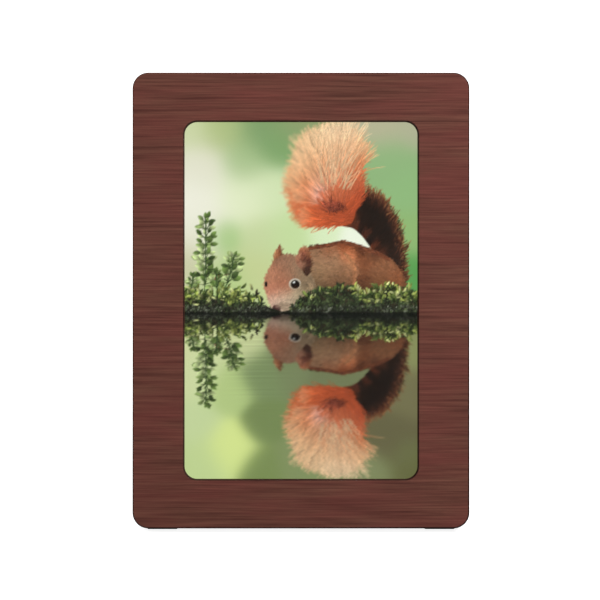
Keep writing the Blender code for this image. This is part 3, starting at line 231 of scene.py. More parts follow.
def moulded_finish(name, colour, light, roughness, grain=2600, depth=0.06 * MM, strength=0.35):
    """Plastic or rubber from a spark-eroded mould: fine even grain, faint wear."""
    f = Finish(name, colour, roughness)
    spot = f.spot()
    cells = f.noise(spot, grain, 3.0, 0.6)
    cloud = f.noise(spot, 26.0, 3.0, 0.6)
    mottled = f.math("ADD", f.math("MULTIPLY", cells, 0.75), f.math("MULTIPLY", cloud, 0.25))
    f.link("Base Color", f.mix(f.ramp(mottled, (0.36, 0.0), (0.66, 1.0)), colour, light))
    f.link("Roughness", f.ramp(cloud, (0.3, roughness + 0.03), (0.7, roughness - 0.03)))
    f.bump(cells, strength, depth)
    return f.material


def steel_finish(name, colour, light, roughness):
    """Zinc-plated steel with fine lines along it."""
    f = Finish(name, colour, roughness, 1.0)
    lines = f.noise(f.spot((60, 60, 2600)), 1.0, 3.0, 0.6)
    cloud = f.noise(f.spot(), 90.0, 3.0, 0.6)
    f.link("Base Color", f.mix(f.ramp(cloud, (0.35, 0.0), (0.65, 1.0)), colour, light))
    f.link("Roughness", f.ramp(lines, (0.3, roughness - 0.06), (0.7, roughness + 0.1)))
    f.bump(lines, 0.25, 0.03 * MM)
    return f.material


def glass_finish():
    """Clear glass with an anti-reflection coat, and the faintest unevenness."""
    f = Finish("cover_glass_coated", (0.97, 0.99, 0.98, 1), 0.02)
    f.set("Transmission Weight", 1.0)
    f.set("IOR", 1.2)
    f.link("Roughness", f.ramp(f.noise(f.spot(), 60.0), (0.3, 0.0), (0.7, 0.025)))
    return f.material


def board_finish():
    """Green solder mask, lighter over the copper tracks."""
    green = rgba(18, 82, 48)
    f = Finish("board_solder_mask", green, 0.3)
    tracks = f.node("TexBrick", Vector=f.spot((420, 420, 420), (math.radians(76), 0, 0)))
    tracks.inputs["Mortar Size"].default_value = 0.06
    tracks.inputs["Scale"].default_value = 1.0
    wander = f.noise(f.spot(), 120.0, 2.0)
    copper = f.math("MULTIPLY", tracks.outputs["Fac"], f.ramp(wander, (0.45, 0.0), (0.55, 1.0)))
    f.link("Base Color", f.mix(copper, green, rgba(46, 128, 72)))
    f.bump(copper, 0.3, 0.04 * MM)
    return f.material


def film_finish():
    """Amber polyimide ribbon with tracks along it."""
    f = Finish("flex_polyimide", rgba(196, 110, 28), 0.28)
    lines = f.node("TexWave", Vector=f.spot(), Scale=420.0, Distortion=0.0).outputs["Fac"]
    track = f.ramp(lines, (0.4, 0.0), (0.6, 1.0))
    f.link("Base Color", f.mix(track, rgba(205, 120, 34), rgba(142, 72, 14)))
    f.bump(lines, 0.2, 0.02 * MM)
    return f.material


def clear_finish():
    """Acrylic light guide with etched dots."""
    f = Finish("light_guide_acrylic", (0.9, 0.95, 0.97, 1), 0.08)
    f.set("Transmission Weight", 1.0)
    f.set("IOR", 1.49)
    dots = f.node("TexVoronoi", Vector=f.spot(), Scale=700.0).outputs["Distance"]
    f.link("Roughness", f.ramp(dots, (0.2, 0.35), (0.35, 0.05)))
    return f.material


# Finishes by the name of the CAD piece's material
FINISHES = {
    "wood": wood_finish(),
    "black_plastic": moulded_finish("abs_black", rgba(30, 30, 31), rgba(42, 42, 43), 0.52),
    "white_plastic": moulded_finish("plastic_white", rgba(214, 214, 208), rgba(232, 232, 228), 0.42, 1800),
    "rubber": moulded_finish("rubber_black", rgba(24, 24, 25), rgba(38, 38, 38), 0.82, 1500, 0.1 * MM, 0.5),
    "foam": moulded_finish("foam_black", rgba(20, 20, 21), rgba(40, 40, 41), 0.95, 1100, 0.3 * MM, 0.8),
    "glass": glass_finish(),
    "acrylic": clear_finish(),
    "steel": steel_finish("steel_zinc", rgba(168, 170, 172), rgba(196, 197, 198), 0.3),
    "flex_film": film_finish(),
    "board_green": board_finish(),
    "chip_black": moulded_finish("chip_epoxy", rgba(26, 27, 29), rgba(40, 41, 44), 0.6, 3200, 0.03 * MM),
}


def dress(obj, material):
    obj.data.materials.clear()
    obj.data.materials.append(material)


# Mesh helpers ------------
def rounded_rectangle(width, height, radius):
    """Points of a rounded rectangle round the middle of the front, counterclockwise from +X."""
    points = []
    for quarter in range(4):
        a = quarter * math.pi / 2
        sx = 1 if quarter in (0, 3) else -1
        sz = 1 if quarter in (0, 1) else -1
        cx, cz = sx * (width / 2 - radius), sz * (height / 2 - radius)
        for i in range(CORNER_STEPS + 1):
            t = a + i / CORNER_STEPS * math.pi / 2
            points.append((cx + radius * math.cos(t), MIDDLE + cz + radius * math.sin(t)))
    return points


def add_object(name, data):
    made = bpy.data.objects.new(name, data)
    bpy.context.scene.collection.objects.link(made)
    return made


def as_mesh(bm, name):
    mesh = bpy.data.meshes.new(name)
    bm.to_mesh(mesh)
    bm.free()
    return mesh


def places_of(mesh):
    places = np.zeros(len(mesh.vertices) * 3)
    mesh.vertices.foreach_get("co", places)
    return places.reshape(-1, 3)


def new_piece(name, mesh, body, slot, *stands_for):
    """A piece modelled in the frame's own axes, in place of CAD nodes."""
    made = add_object(name, mesh)
    made.matrix_world = LOCAL
    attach(made, body)
    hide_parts(*stands_for)
    return made


def weigh_normals(obj):
    """Keeps the flat faces flat beside small round-overs."""
    weighted = obj.modifiers.new("weighted_normal", "WEIGHTED_NORMAL")
    weighted.keep_sharp = True


def swept(loops):
    """A mesh through loops of the same number of points, the last joined to the first."""
    bm = bmesh.new()
    rings = [[bm.verts.new(p) for p in loop] for loop in loops]
    for a, b in zip(rings, rings[1:] + rings[:1], strict=True):
        for i in range(len(a)):
            j = (i + 1) % len(a)
            bm.faces.new((a[i], a[j], b[j], b[i]))
    bmesh.ops.recalc_face_normals(bm, faces=bm.faces)
    return as_mesh(bm, "swept")


# Wooden front ------------
def from_outline(x, z):
    """How far points of the front lie inside its outer outline."""
    qx = np.abs(x) - (FRONT_WIDTH / 2 - FRONT_CORNER)
    qz = np.abs(z - MIDDLE) - (FRONT_HEIGHT / 2 - FRONT_CORNER)
    outside = np.hypot(np.maximum(qx, 0), np.maximum(qz, 0))
    return FRONT_CORNER - outside - np.minimum(np.maximum(qx, qz), 0)


def local_box(name):
    """Lowest and highest corner of a CAD node, in the frame's own axes."""
    back = np.array(LOCAL.inverted())
    places = places_of(nodes[name].data) @ back[:3, :3].T + back[:3, 3]
    return places.min(0), places.max(0)


def cutters():
    """Round holes for the screws' shanks and square seats for the two feet."""
    bm = bmesh.new()
    for name in nodes:
        if name.startswith(("cover_screw", "bracket_screw")):
            low, high = local_box(name)
            middle, tip = (low + high) / 2, low[1] - HOLE_CLEARANCE
            mouth = (FRONT_DEPTH if name.startswith("cover") else LEDGE_DEPTH) + MM
            place = Matrix.Translation((middle[0], (tip + mouth) / 2, middle[2]))
            place @= Matrix.Rotation(math.pi / 2, 4, "X")
            hole = {"radius1": HOLE_RADIUS, "radius2": HOLE_RADIUS, "depth": mouth - tip}
            bmesh.ops.create_cone(bm, cap_ends=True, segments=HOLE_STEPS, matrix=place, **hole)
        elif name in ("foot_left", "foot_right"):
            low, high = local_box(name)
            low[2] = -MM
            size, middle = high - low + 2 * SEAT_CLEARANCE, (low + high) / 2
            place = Matrix.Translation(middle) @ Matrix.Diagonal((*size, 1))
            bmesh.ops.create_cube(bm, size=1, matrix=place)
    return as_mesh(bm, "cutters")


def drilled(mesh):
    """The front's mesh with its screw holes and foot seats cut out."""
    whole, tool = (add_object("temporary", m) for m in (mesh, cutters()))
    cut = whole.modifiers.new("cut", "BOOLEAN")
    cut.operation, cut.solver, cut.object = "DIFFERENCE", "EXACT", tool
    graph = bpy.context.evaluated_depsgraph_get()
    result = bpy.data.meshes.new_from_object(whole.evaluated_get(graph))
    for made in (whole, tool):
        bpy.data.objects.remove(made)
    return result


def build_front():
    """The front in one piece: face, opening, pocket for the display, ledge for its bracket."""

    def level(width, height, radius, y):
        return [(x, y, z) for x, z in rounded_rectangle(width, height, radius)]

    def outer(inset, y):
        return level(FRONT_WIDTH - 2 * inset, FRONT_HEIGHT - 2 * inset, FRONT_CORNER - inset, y)

    def opening(grow, y):
        size = (OPENING_WIDTH + 2 * grow, OPENING_HEIGHT + 2 * grow)
        return level(*size, OPENING_CORNER + grow, y)

    loops = [outer(0, FRONT_DEPTH), outer(0, FRONT_DEPTH / 2)]
    for i in range(EDGE_STEPS + 1):
        a = i / EDGE_STEPS * math.pi / 2
        loops.append(outer(FRONT_EDGE * (1 - math.cos(a)), FRONT_EDGE * (1 - math.sin(a))))
    loops.append(outer(FRONT_EDGE + FACE_BORDER, 0))
    loops.append(opening(OPENING_EDGE + OPENING_BORDER, 0))
    for i in range(OPENING_STEPS + 1):
        share = i / OPENING_STEPS
        a = share * math.pi / 2
        grow = OPENING_EDGE * (1 - math.sin(a)) - share * DRAFT * OPENING_EDGE / LIP
        loops.append(opening(grow, OPENING_EDGE * (1 - math.cos(a))))
    loops.append(opening(-DRAFT, LIP))
    loops.append(level(*POCKET, POCKET_CORNER, LIP))
    loops.append(level(*POCKET, POCKET_CORNER, LEDGE_DEPTH))
    ledge = [side + 2 * LEDGE_STEP for side in POCKET]
    loops.append(level(*ledge, POCKET_CORNER, LEDGE_DEPTH))
    loops.append(level(*ledge, POCKET_CORNER, FRONT_DEPTH))
    mesh = drilled(swept(loops))
    x, y, z = places_of(mesh).T
    inside = from_outline(x, z)
    edge = np.clip(1 - inside / FRONT_EDGE, 0, 1)
    # Painted shade: the darkening starts nearer the face on the right and bottom edges, so that they look
    # shaded.
    towards_shade = np.clip((x / FRONT_WIDTH - (z - MIDDLE) / FRONT_HEIGHT) * 2, -1, 1)
    start = np.maximum(STAIN_START - PAINTED_SHADE_SHIFT * towards_shade, STAIN_FIRST)
    stain_and_shade = np.clip((edge - start) / STAIN_REACH, 0, 1)
    # Painted shade: the opening's wall is darkened all round.
    near = 0.01 * MM
    lip = np.abs(x) < OPENING_WIDTH / 2 + near
    lip &= np.abs(z - MIDDLE) < OPENING_HEIGHT / 2 + near
    stain_and_shade = np.where(lip & (y > OPENING_EDGE / 2), LIP_PAINTED_SHADE, stain_and_shade)
    stain_and_shade = np.where(y > FRONT_EDGE + near, SIDE_STAIN, stain_and_shade)
    mesh.attributes.new("stain_and_shade", "FLOAT", "POINT").data.foreach_set("value", stain_and_shade)
    mesh.shade_smooth()
    mesh.set_sharp_from_angle(angle=SMOOTH_BELOW)
    front = new_piece("wooden_front", mesh, "frame", "wood", "front_frame")
    dress(front, FINISHES["wood"])
    weigh_normals(front)


# Picture on the display ------------
# A red squirrel drinking at the edge of still water, drawn stroke by stroke. Its places and
# lengths are in millimetres from the middle of the picture, U to the right and V up, and its
# colours are on the 0 to 255 scale.
PICTURE_WIDTH = OPENING_WIDTH + 2 * MM
PICTURE_HEIGHT = OPENING_HEIGHT + 2 * MM
PITCH = 0.57 * MM  # between the picture's points
FINER = 3  # drawing points to one of those, each way
WATER = -7.4  # height of the waterline


class Layer:
    """Colours on a fine grid, and which of its points are painted."""

    def __init__(self, columns, rows):
        self.step = PITCH / MM / FINER
        self.size = (rows * FINER, columns * FINER)
        self.left = -columns * PITCH / MM / 2
        self.low = -rows * PITCH / MM / 2
        self.v, self.u = np.mgrid[0 : self.size[0], 0 : self.size[1]] * self.step
        self.u += self.left
        self.v += self.low
        self.colour = np.zeros((*self.size, 3))
        self.painted = np.zeros(self.size)

    def index(self, u, v):
        row = np.floor((v - self.low) / self.step).astype(int)
        return row, np.floor((u - self.left) / self.step).astype(int)

    def put(self, u, v, colour):
        row, column = self.index(u, v)
        ok = (row >= 0) & (row < self.size[0]) & (column >= 0) & (column < self.size[1])
        self.colour[row[ok], column[ok]] = colour[ok]
        self.painted[row[ok], column[ok]] = 1

    def inside(self, outline):
        """The points within a smooth closed curve through the outline's points."""
        curve = spline(outline)
        low = np.maximum(np.array(self.index(*curve.min(0))), 0)
        high = np.array(self.index(*curve.max(0))) + 2
        part = (slice(low[0], high[0]), slice(low[1], high[1]))
        u, v = self.u[part], self.v[part]
        odd = np.zeros(u.shape, bool)
        for (x0, y0), (x1, y1) in zip(curve, np.roll(curve, -1, 0), strict=True):
            if y0 != y1:
                odd ^= ((v >= y0) != (v >= y1)) & (u < x0 + (v - y0) * (x1 - x0) / (y1 - y0))
        mask = np.zeros(self.size, bool)
        mask[part] = odd
        return mask

    def fill(self, mask, blobs):
        """Paints the points of a mask in soft colours."""
        self.colour[mask] = wash(self.u[mask], self.v[mask], blobs)
        self.painted[mask] = 1


def spline(points):
    """A smooth closed curve through the points, with eight places to a side."""
    p = np.array(points, float)
    t = np.linspace(0, 1, 8, endpoint=False)[:, None, None]
    a, b, c, d = (np.roll(p, k, 0)[None] for k in (1, 0, -1, -2))
    curve = 0.5 * (
        2 * b + (c - a) * t + (2 * a - 5 * b + 4 * c - d) * t**2 + (3 * b - a - 3 * c + d) * t**3
    )
    return curve.transpose(1, 0, 2).reshape(-1, 2)


def wash(u, v, blobs):
    """Soft colours: each blob is (u, v, reach, colour), and they blend by nearness."""
    total = np.zeros((*np.shape(u), 3))
    weight = np.full(np.shape(u), 1e-12)
    for x, y, reach, colour in blobs:
        near = np.exp(-((u - x) ** 2 + (v - y) ** 2) / (2 * reach**2)) + 1e-9
        total += near[..., None] * np.array(colour, float)
        weight += near
    return total / weight[..., None]


def strokes(layer, u, v, angle, length, bend, width, colours, shape="hair"):
    """Tapered curved strokes. Each has a row of colours along it, and the last drawn lies on top.

    Length, bend and width are one number for all the strokes or an array with one for each.
    """
    length, bend, width = (np.broadcast_to(size, u.shape) for size in (length, bend, width))
    steps = int(length.max() / layer.step * 1.25) + 2
    across = int(width.max() / layer.step * 1.6) + 1
    t = np.linspace(0, 1, steps)[None]
    heading = angle[:, None] + bend[:, None] * t
    x = u[:, None] + np.cumsum(np.cos(heading), 1) * length[:, None] / steps
    y = v[:, None] + np.cumsum(np.sin(heading), 1) * length[:, None] / steps
    taper = {"hair": 1 - 0.8 * t, "leaf": np.sin(math.pi * np.clip(t * 0.92 + 0.08, 0, 1)) ** 0.8}
    half = width[:, None] * taper[shape]
    side = np.linspace(-0.5, 0.5, across) if across > 1 else np.zeros(1)
    px = x[..., None] - (np.sin(heading) * half)[..., None] * side
    py = y[..., None] + (np.cos(heading) * half)[..., None] * side
    along = t[0] * (colours.shape[1] - 1)
    first = np.minimum(along.astype(int), colours.shape[1] - 2)
    share = (along - first)[None, :, None]
    tone = colours[:, first] * (1 - share) + colours[:, first + 1] * share
    tone = np.repeat(tone[:, :, None], len(side), 2)
    if shape == "leaf":
        tone = tone * (1 + 0.28 * side[None, None, :, None])
    layer.put(px.ravel(), py.ravel(), tone.reshape(-1, 3))


def shades(rng, colour, spread, steps, count):
    """A row of shades along each stroke, which are lighter or darker overall by the spread."""
    tone = np.array(colour) * (1 + rng.normal(0, spread, (count, 1)))
    return np.stack([tone * step for step in steps], 1)


def groom(layer, rng, mask, count, flow, length, spread=0.25, contrast=0.14, width=0.34, tip=1.0):
    """Short hairs all over a painted region, each near the colour that it starts on."""
    rows, columns = np.nonzero(mask)
    pick = rng.integers(0, len(rows), count)
    rows, columns = rows[pick], columns[pick]
    u, v = layer.u[rows, columns], layer.v[rows, columns]
    order = np.argsort(flow_depth(u, v, flow))
    rows, columns, u, v = rows[order], columns[order], u[order], v[order]
    angle = flow(u, v) + rng.normal(0, spread, count)
    colours = shades(rng, layer.colour[rows, columns], contrast, (0.92, 1, tip), count)
    size = length * rng.uniform(0.6, 1.25, count)
    bend = rng.normal(0, 0.35, count)
    strokes(layer, u, v, angle, size, bend, width, colours)


def flow_depth(u, v, flow):
    """The order to draw hairs in: those nearer the root of the coat lie over the others."""
    angle = flow(u, v)
    return -(u * np.cos(angle) + v * np.sin(angle))


def from_point(u0, v0, turn=0.0):
    """A coat whose hairs lie away from one point, or turned from that."""
    return lambda u, v: np.arctan2(v - v0, u - u0) + turn


def fan_flow(u, v):
    """Away from the knot of the tail: the hairs below it sweep to the left."""
    angle = np.arctan2(v - 53, u - 24) % (2 * math.pi)
    return np.clip(angle, math.radians(58), math.radians(187))


def draw_tail(layer, rng):
    """The tail: a dark brush behind, and in front of it a fan of flame-coloured hair."""
    dark, brown = (32, 21, 15), (70, 38, 25)
    brush = [(24, 45.5), (31, 43.6), (36, 39.5), (40, 34.5), (44, 28), (50, 16), (58, 12), (59.5, 22)]
    brush += [(58.5, 36), (56, 46), (50, 55), (43, 60), (36, 60), (29, 58), (24, 52)]
    mask = layer.inside(brush)
    layer.fill(
        mask,
        [(46, 50, 7, dark), (38, 55, 6, dark), (53, 38, 6, dark), (54, 24, 5, (44, 28, 20))]
        + [(33, 43, 1.1, (110, 56, 36)), (38, 38.5, 1.0, (96, 48, 30)), (43, 32, 1.0, (104, 52, 32))]
        + [(61, 42, 2, brown), (58, 54, 3, brown), (46, 63, 3, brown), (28, 50, 3, (150, 72, 42))]
        + [(60, 16, 2.5, (110, 58, 36)), (46, 27, 1.4, (84, 44, 28))],
    )
    groom(layer, rng, mask, 2600, from_point(20, 18, 0.3), 5.0, 0.16, 0.2)
    # Fringe with light tips along the brush's right and upper edge
    count = 560
    share = rng.uniform(0, 1, count)
    edge = spline([(59, 12), (60, 26), (57.5, 42), (52, 53), (43, 60), (33, 60), (30, 59)])[:44]
    where = edge[(share * 43).astype(int)] + rng.normal(0, 1.3, (count, 2)) - (1.2, 1.2)
    angle = np.interp(share, (0, 0.3, 0.6, 1), (0.75, 0.85, 1.2, 1.6)) + rng.normal(0, 0.16, count)
    tips = rng.uniform(0, 1, (count, 1))
    tip = (1 - tips) * np.array((100, 52, 32)) + tips * np.array((206, 140, 90))
    colours = np.stack([np.tile(dark, (count, 1)), np.tile(brown, (count, 1)), tip], 1)
    length = rng.uniform(2, 7, count) * np.interp(share, (0, 0.5, 1), (0.8, 1.2, 2.1))
    strokes(layer, *where.T, angle, length, rng.normal(0.1, 0.2, count), 0.4, colours)

    fan = [(30, 46.5), (20, 45.8), (12, 45.8), (7, 47.5), (2, 54), (-2, 64), (-2, 74), (2, 86)]
    fan += [(4, 94), (14, 99), (24, 100), (32, 94), (34, 84), (34, 74), (34.5, 64), (33, 54)]
    mask = layer.inside(fan)
    orange, flame = (214, 130, 86), (200, 92, 52)
    coat = [(20, 55, 1.3, (120, 60, 44)), (11, 64, 3.2, (224, 176, 164)), (0, 49, 5, (212, 102, 58))]
    coat += [(14, 48, 5, flame), (28, 50, 4, (176, 78, 44)), (-7, 58, 5, (222, 136, 88))]
    coat += [(-8, 72, 6, (230, 174, 122)), (-6, 92, 7, (230, 186, 136)), (8, 98, 7, (238, 196, 150))]
    coat += [(24, 102, 6, (240, 208, 168)), (36, 92, 5, (232, 172, 122)), (34, 80, 4, (204, 108, 66))]
    coat += [(29, 68, 5, (198, 104, 68)), (33, 58, 4, (170, 74, 44)), (16, 80, 7, (222, 156, 112))]
    coat += [(3, 64, 5, (196, 112, 74)), (4, 82, 6, (226, 166, 122)), (26, 86, 5, (220, 158, 116))]
    coat += [(-2, 70, 5, orange), (20, 70, 4, (206, 128, 96)), (24, 60, 3, (190, 100, 66))]
    layer.fill(mask, coat)
    groom(layer, rng, mask, 5200, fan_flow, 9.0, 0.15, 0.1, 0.32, 1.05)
    # Long hairs from the fan's left side round to its top
    count = 2400
    where = rng.uniform(0, 1, count)
    out = np.interp(where, (0, 1), (math.radians(184), math.radians(60)))
    start = rng.uniform(0.4, 0.75, count) * np.interp(where, (0, 0.3, 1), (17, 32, 42))
    u, v = 20 + start * np.cos(out), 56 + start * np.sin(out) - 7 * (out > 2.9)
    reach = np.interp(where, (0, 0.2, 0.45, 0.6, 0.8, 1), (17, 26, 39, 46, 52, 42))
    reach *= 1 + 0.07 * np.sin(where * 47) + 0.05 * np.sin(where * 23 + 1)
    length = np.maximum(reach * rng.uniform(0.8, 1.05, count) - start, 4)
    order = np.argsort(-start)
    u, v, out, length = u[order], v[order], out[order], length[order]
    angle, bend = out + rng.normal(0, 0.2, count), rng.normal(0, 0.32, count)
    places = [(u + k * length * np.cos(angle), v + k * length * np.sin(angle)) for k in (0, 0.5, 1)]
    tone = 1 + rng.normal(0, 0.15, (count, 1))
    colours = np.stack([wash(*place, coat) * tone for place in places], 1)
    colours[:, 2] = colours[:, 2] * 0.7 + 0.3 * np.array((250, 222, 180))
    strokes(layer, u, v, angle, length, bend, 0.3, colours)
    # Pale hairs in its middle
    count = 90
    u, v = rng.uniform(12, 30, count), rng.uniform(66, 88, count)
    angle = np.interp(u, (12, 30), (1.75, 0.95)) + rng.normal(0, 0.12, count)
    colours = shades(rng, (234, 190, 148), 0.06, (0.85, 1, 1.04), count)
    length = rng.uniform(6, 16, count)
    strokes(layer, u, v, angle, length, rng.normal(-0.1, 0.3, count), 0.3, colours)
    # Dark knot that the fan spreads from
    count = 110
    angle = rng.uniform(1.3, 3.3, count)
    colours = shades(rng, (92, 44, 32), 0.25, (1, 1.25, 1.9), count)
    length = rng.uniform(2, 6, count)
    u, v = 20.5 + rng.normal(0, 2.6, count), 55.5 + rng.normal(0, 1.3, count)
    strokes(layer, u, v, angle, length, rng.normal(0, 0.3, count), 0.3, colours)


def draw_body(layer, rng):
    """The body, lying to the right of the head, with the haunch's edge and the line of the back."""
    trunk = [(0, 29), (6, 32.5), (13, 33.6), (24, 36), (34, 33.8), (44, 30), (54, 25), (60, 17)]
    trunk += [(61, 8), (58, 0), (40, -2), (20, -2), (4, -3), (-4, 2), (-4, 14)]
    mask = layer.inside(trunk)
    layer.fill(
        mask,
        [(6, 28, 4, (146, 108, 80)), (14, 31, 3, (150, 92, 62)), (24, 34, 2.6, (132, 66, 38))]
        + [(34, 32.5, 2.4, (96, 54, 34)), (44, 29, 2.4, (92, 54, 36)), (26, 29, 3, (206, 124, 82))]
        + [(16, 24, 5, (166, 124, 92)), (20, 14, 5, (134, 96, 68)), (8, 16, 5, (150, 116, 84))]
        + [(6, 4, 6, (74, 56, 38)), (20, 4, 6, (96, 64, 42)), (28, 20, 3, (168, 116, 82))]
        + [(36, 24, 3, (132, 78, 50)), (35, 12, 3, (108, 64, 42)), (48, 22, 5, (142, 92, 62))]
        + [(48, 9, 5, (122, 78, 50)), (57, 14, 4, (140, 84, 54)), (56, 4, 5, (84, 50, 32))]
        + [(36, 4, 5, (80, 52, 34))],
    )
    groom(layer, rng, mask, 7000, lambda u, v: -0.25 - 0.012 * (u - 10), 3.4, 0.3, 0.11, 0.3)
    # Light edge of the haunch
    count = 260
    arc = spline([(26, 29), (30, 25), (32, 19), (31.6, 11), (29, 3), (29, 3), (31, 12), (30, 25)])[:32]
    where = arc[rng.integers(0, 32, count)] + rng.normal(0, 0.35, (count, 2))
    colours = shades(rng, (186, 124, 84), 0.12, (0.8, 1, 1.05), count)
    angle = rng.normal(-1.2, 0.3, count)
    length = rng.uniform(1.2, 3, count)
    strokes(layer, *where.T, angle, length, rng.normal(0, 0.3, count), 0.3, colours)
    # Short hairs along the back
    count = 700
    back = np.array([(4, 32), (13, 33.6), (24, 35.8), (34, 33.6), (44, 30), (52, 26)], float)
    u = rng.uniform(4, 52, count)
    v = np.interp(u, back[:, 0], back[:, 1]) + rng.normal(-0.5, 0.5, count)
    colours = shades(rng, (104, 58, 38), 0.2, (1, 1.05, 1.15), count)
    angle = np.interp(u, (4, 24, 52), (0.15, -0.1, -0.5)) + rng.normal(0, 0.1, count)
    length = rng.uniform(1.5, 3.0, count)
    strokes(layer, u, v, angle, length, rng.normal(0, 0.2, count), 0.3, colours)


def ellipse(layer, u0, v0, a, b, turn=0.0):
    """The points within an ellipse, turned anticlockwise."""
    du, dv = layer.u - u0, layer.v - v0
    c, s = math.cos(turn), math.sin(turn)
    return ((du * c + dv * s) / a) ** 2 + ((dv * c - du * s) / b) ** 2 < 1


def draw_head(layer, rng):
    """The head, facing left with its muzzle at the water."""
    far_ear = [(-16.6, 21), (-15.8, 27), (-13.2, 31.6), (-12, 28), (-11.4, 23)]
    mask = layer.inside(far_ear)
    layer.fill(mask, [(-15.4, 26, 1.2, (196, 132, 92)), (-13, 25, 1.5, (118, 68, 44))])
    groom(layer, rng, mask, 240, lambda u, v: 1.4 + 0 * u, 2.6, 0.2, 0.12, 0.28)
    skull = [(-21.6, 9), (-20.6, 14), (-17.8, 20), (-14, 24.4), (-8.4, 26.6), (-3, 25.4), (2, 21)]
    skull += [(5.8, 14), (6.4, 6), (2.6, -0.5), (-4.4, -5), (-9.5, -7), (-13.6, -7), (-16.6, -4.4)]
    skull += [(-18.8, -0.6), (-20.6, 4)]
    mask = layer.inside(skull)
    layer.fill(
        mask,
        [(-14, 14, 4, (176, 116, 88)), (-9, 23, 4, (150, 108, 84)), (-18, 14, 3, (186, 128, 98))]
        + [(-16, 4, 3, (194, 128, 100)), (-10, 8, 3, (168, 106, 80)), (-9, 16, 4, (160, 110, 84))]
        + [(-4, 18, 4, (146, 118, 92)), (3, 14, 4, (140, 116, 90)), (3, 6, 4, (128, 108, 82))]
        + [(-3, 3, 3, (178, 160, 130)), (-8, -2, 3, (192, 172, 146)), (-14, -1, 3, (212, 180, 156))]
        + [(-10, 3, 2.4, (190, 150, 122)), (-4, -3, 2, (122, 106, 84)), (-18, -1, 2, (206, 168, 146))],
    )
    groom(layer, rng, mask, 5200, from_point(-15, -4), 2.0, 0.3, 0.09, 0.26)
    cheek = mask & ellipse(layer, 4.6, 3, 3.6, 12, -0.25)
    groom(layer, rng, cheek, 500, lambda u, v: -0.9 + 0 * u, 2.8, 0.3, 0.14, 0.3, 1.15)
    near_ear = [(-3, 22.6), (-2, 27.6), (0.6, 30.8), (3.2, 29.6), (5, 25), (5.2, 18), (3.4, 14.6)]
    near_ear += [(0.6, 18)]
    mask = layer.inside(near_ear)
    layer.fill(
        mask,
        [(-2, 25, 1.1, (196, 136, 104)), (0.6, 25, 1.5, (128, 74, 56)), (0.8, 30, 1.1, (168, 104, 74))]
        + [(4, 26, 1.1, (150, 92, 62)), (2.6, 22, 1.6, (84, 48, 36)), (3.4, 17, 1.6, (66, 42, 32))]
        + [(0.2, 20, 1.3, (160, 112, 88))],
    )
    groom(layer, rng, mask, 520, lambda u, v: 1.25 - 0.06 * u, 2.6, 0.25, 0.14, 0.28)
    # The near eye's pale ring, the eye and its glint, the far eye, the nose and a nostril
    for oval, colours in (
        ((-3.8, 9.9, 3.7, 3.3, 0.2), [(-4, 13, 2, (206, 196, 180)), (-3, 7, 2, (184, 168, 146))]),
        ((-3.6, 9.7, 2.75, 2.6), [(-3.6, 9, 2, (24, 16, 12)), (-3.4, 7.6, 0.8, (74, 44, 24))]),
        ((-4.3, 10.9, 0.85, 0.6, 0.4), [(-4, 11, 2, (226, 230, 226))]),
        ((-21.2, 9.8, 0.9, 1.6), [(-21, 10, 2, (34, 24, 20))]),
        ((-14.6, -4.5, 2.7, 1.7, -0.15), [(-14, -4, 1.5, (104, 68, 62)), (-16, -5, 1, (66, 42, 38))]),
        ((-13.2, -4.9, 0.6, 0.5), [(0, 0, 9, (34, 20, 20))]),
    ):
        layer.fill(ellipse(layer, *oval), colours)
    # Whiskers
    count = 22
    u, v = -12.5 + rng.normal(0, 1.4, count), -3 + rng.normal(0, 1, count)
    colours = np.tile((150, 128, 106), (count, 3, 1)).astype(float)
    angle, bend = rng.uniform(-0.6, 0.5, count), rng.normal(-0.5, 0.3, count)
    strokes(layer, u, v, angle, rng.uniform(5, 11, count), bend, 0.2, colours)


MOSS = np.array([(158, 168, 84), (114, 130, 62), (84, 100, 48), (56, 70, 36), (190, 194, 128)])
DARK_MOSS = np.array([(44, 56, 32), (62, 74, 44), (34, 38, 26), (84, 96, 60), (52, 46, 32)])


def tuft(layer, rng, count, u, v, palette, length, width):
    """Small leaves in every direction, their colours from a palette and patchy over the bank."""
    clump = 0.5 * np.sin(u * 0.9 + 1.7 * v) + 0.5 * np.sin(u * 0.37 - 0.9 * v + 2)
    tone = palette[rng.integers(0, len(palette), count)] * (0.9 + 0.28 * clump[:, None])
    colours = shades(rng, tone, 0.12, (0.5, 1, 1.15), count)
    angle = rng.normal(1.57, 1.2, count)
    size, bend = rng.uniform(*length, count), rng.normal(0, 1.2, count)
    strokes(layer, u, v, angle, size, bend, rng.uniform(0.5, 1, count) * width, colours, "leaf")


def lumps(u):
    """Uneven heights along the bank."""
    return 1.5 * np.sin(u * 0.23 + 2) + 1.1 * np.sin(u * 0.61) + 0.8 * np.sin(u * 1.37 + 1)


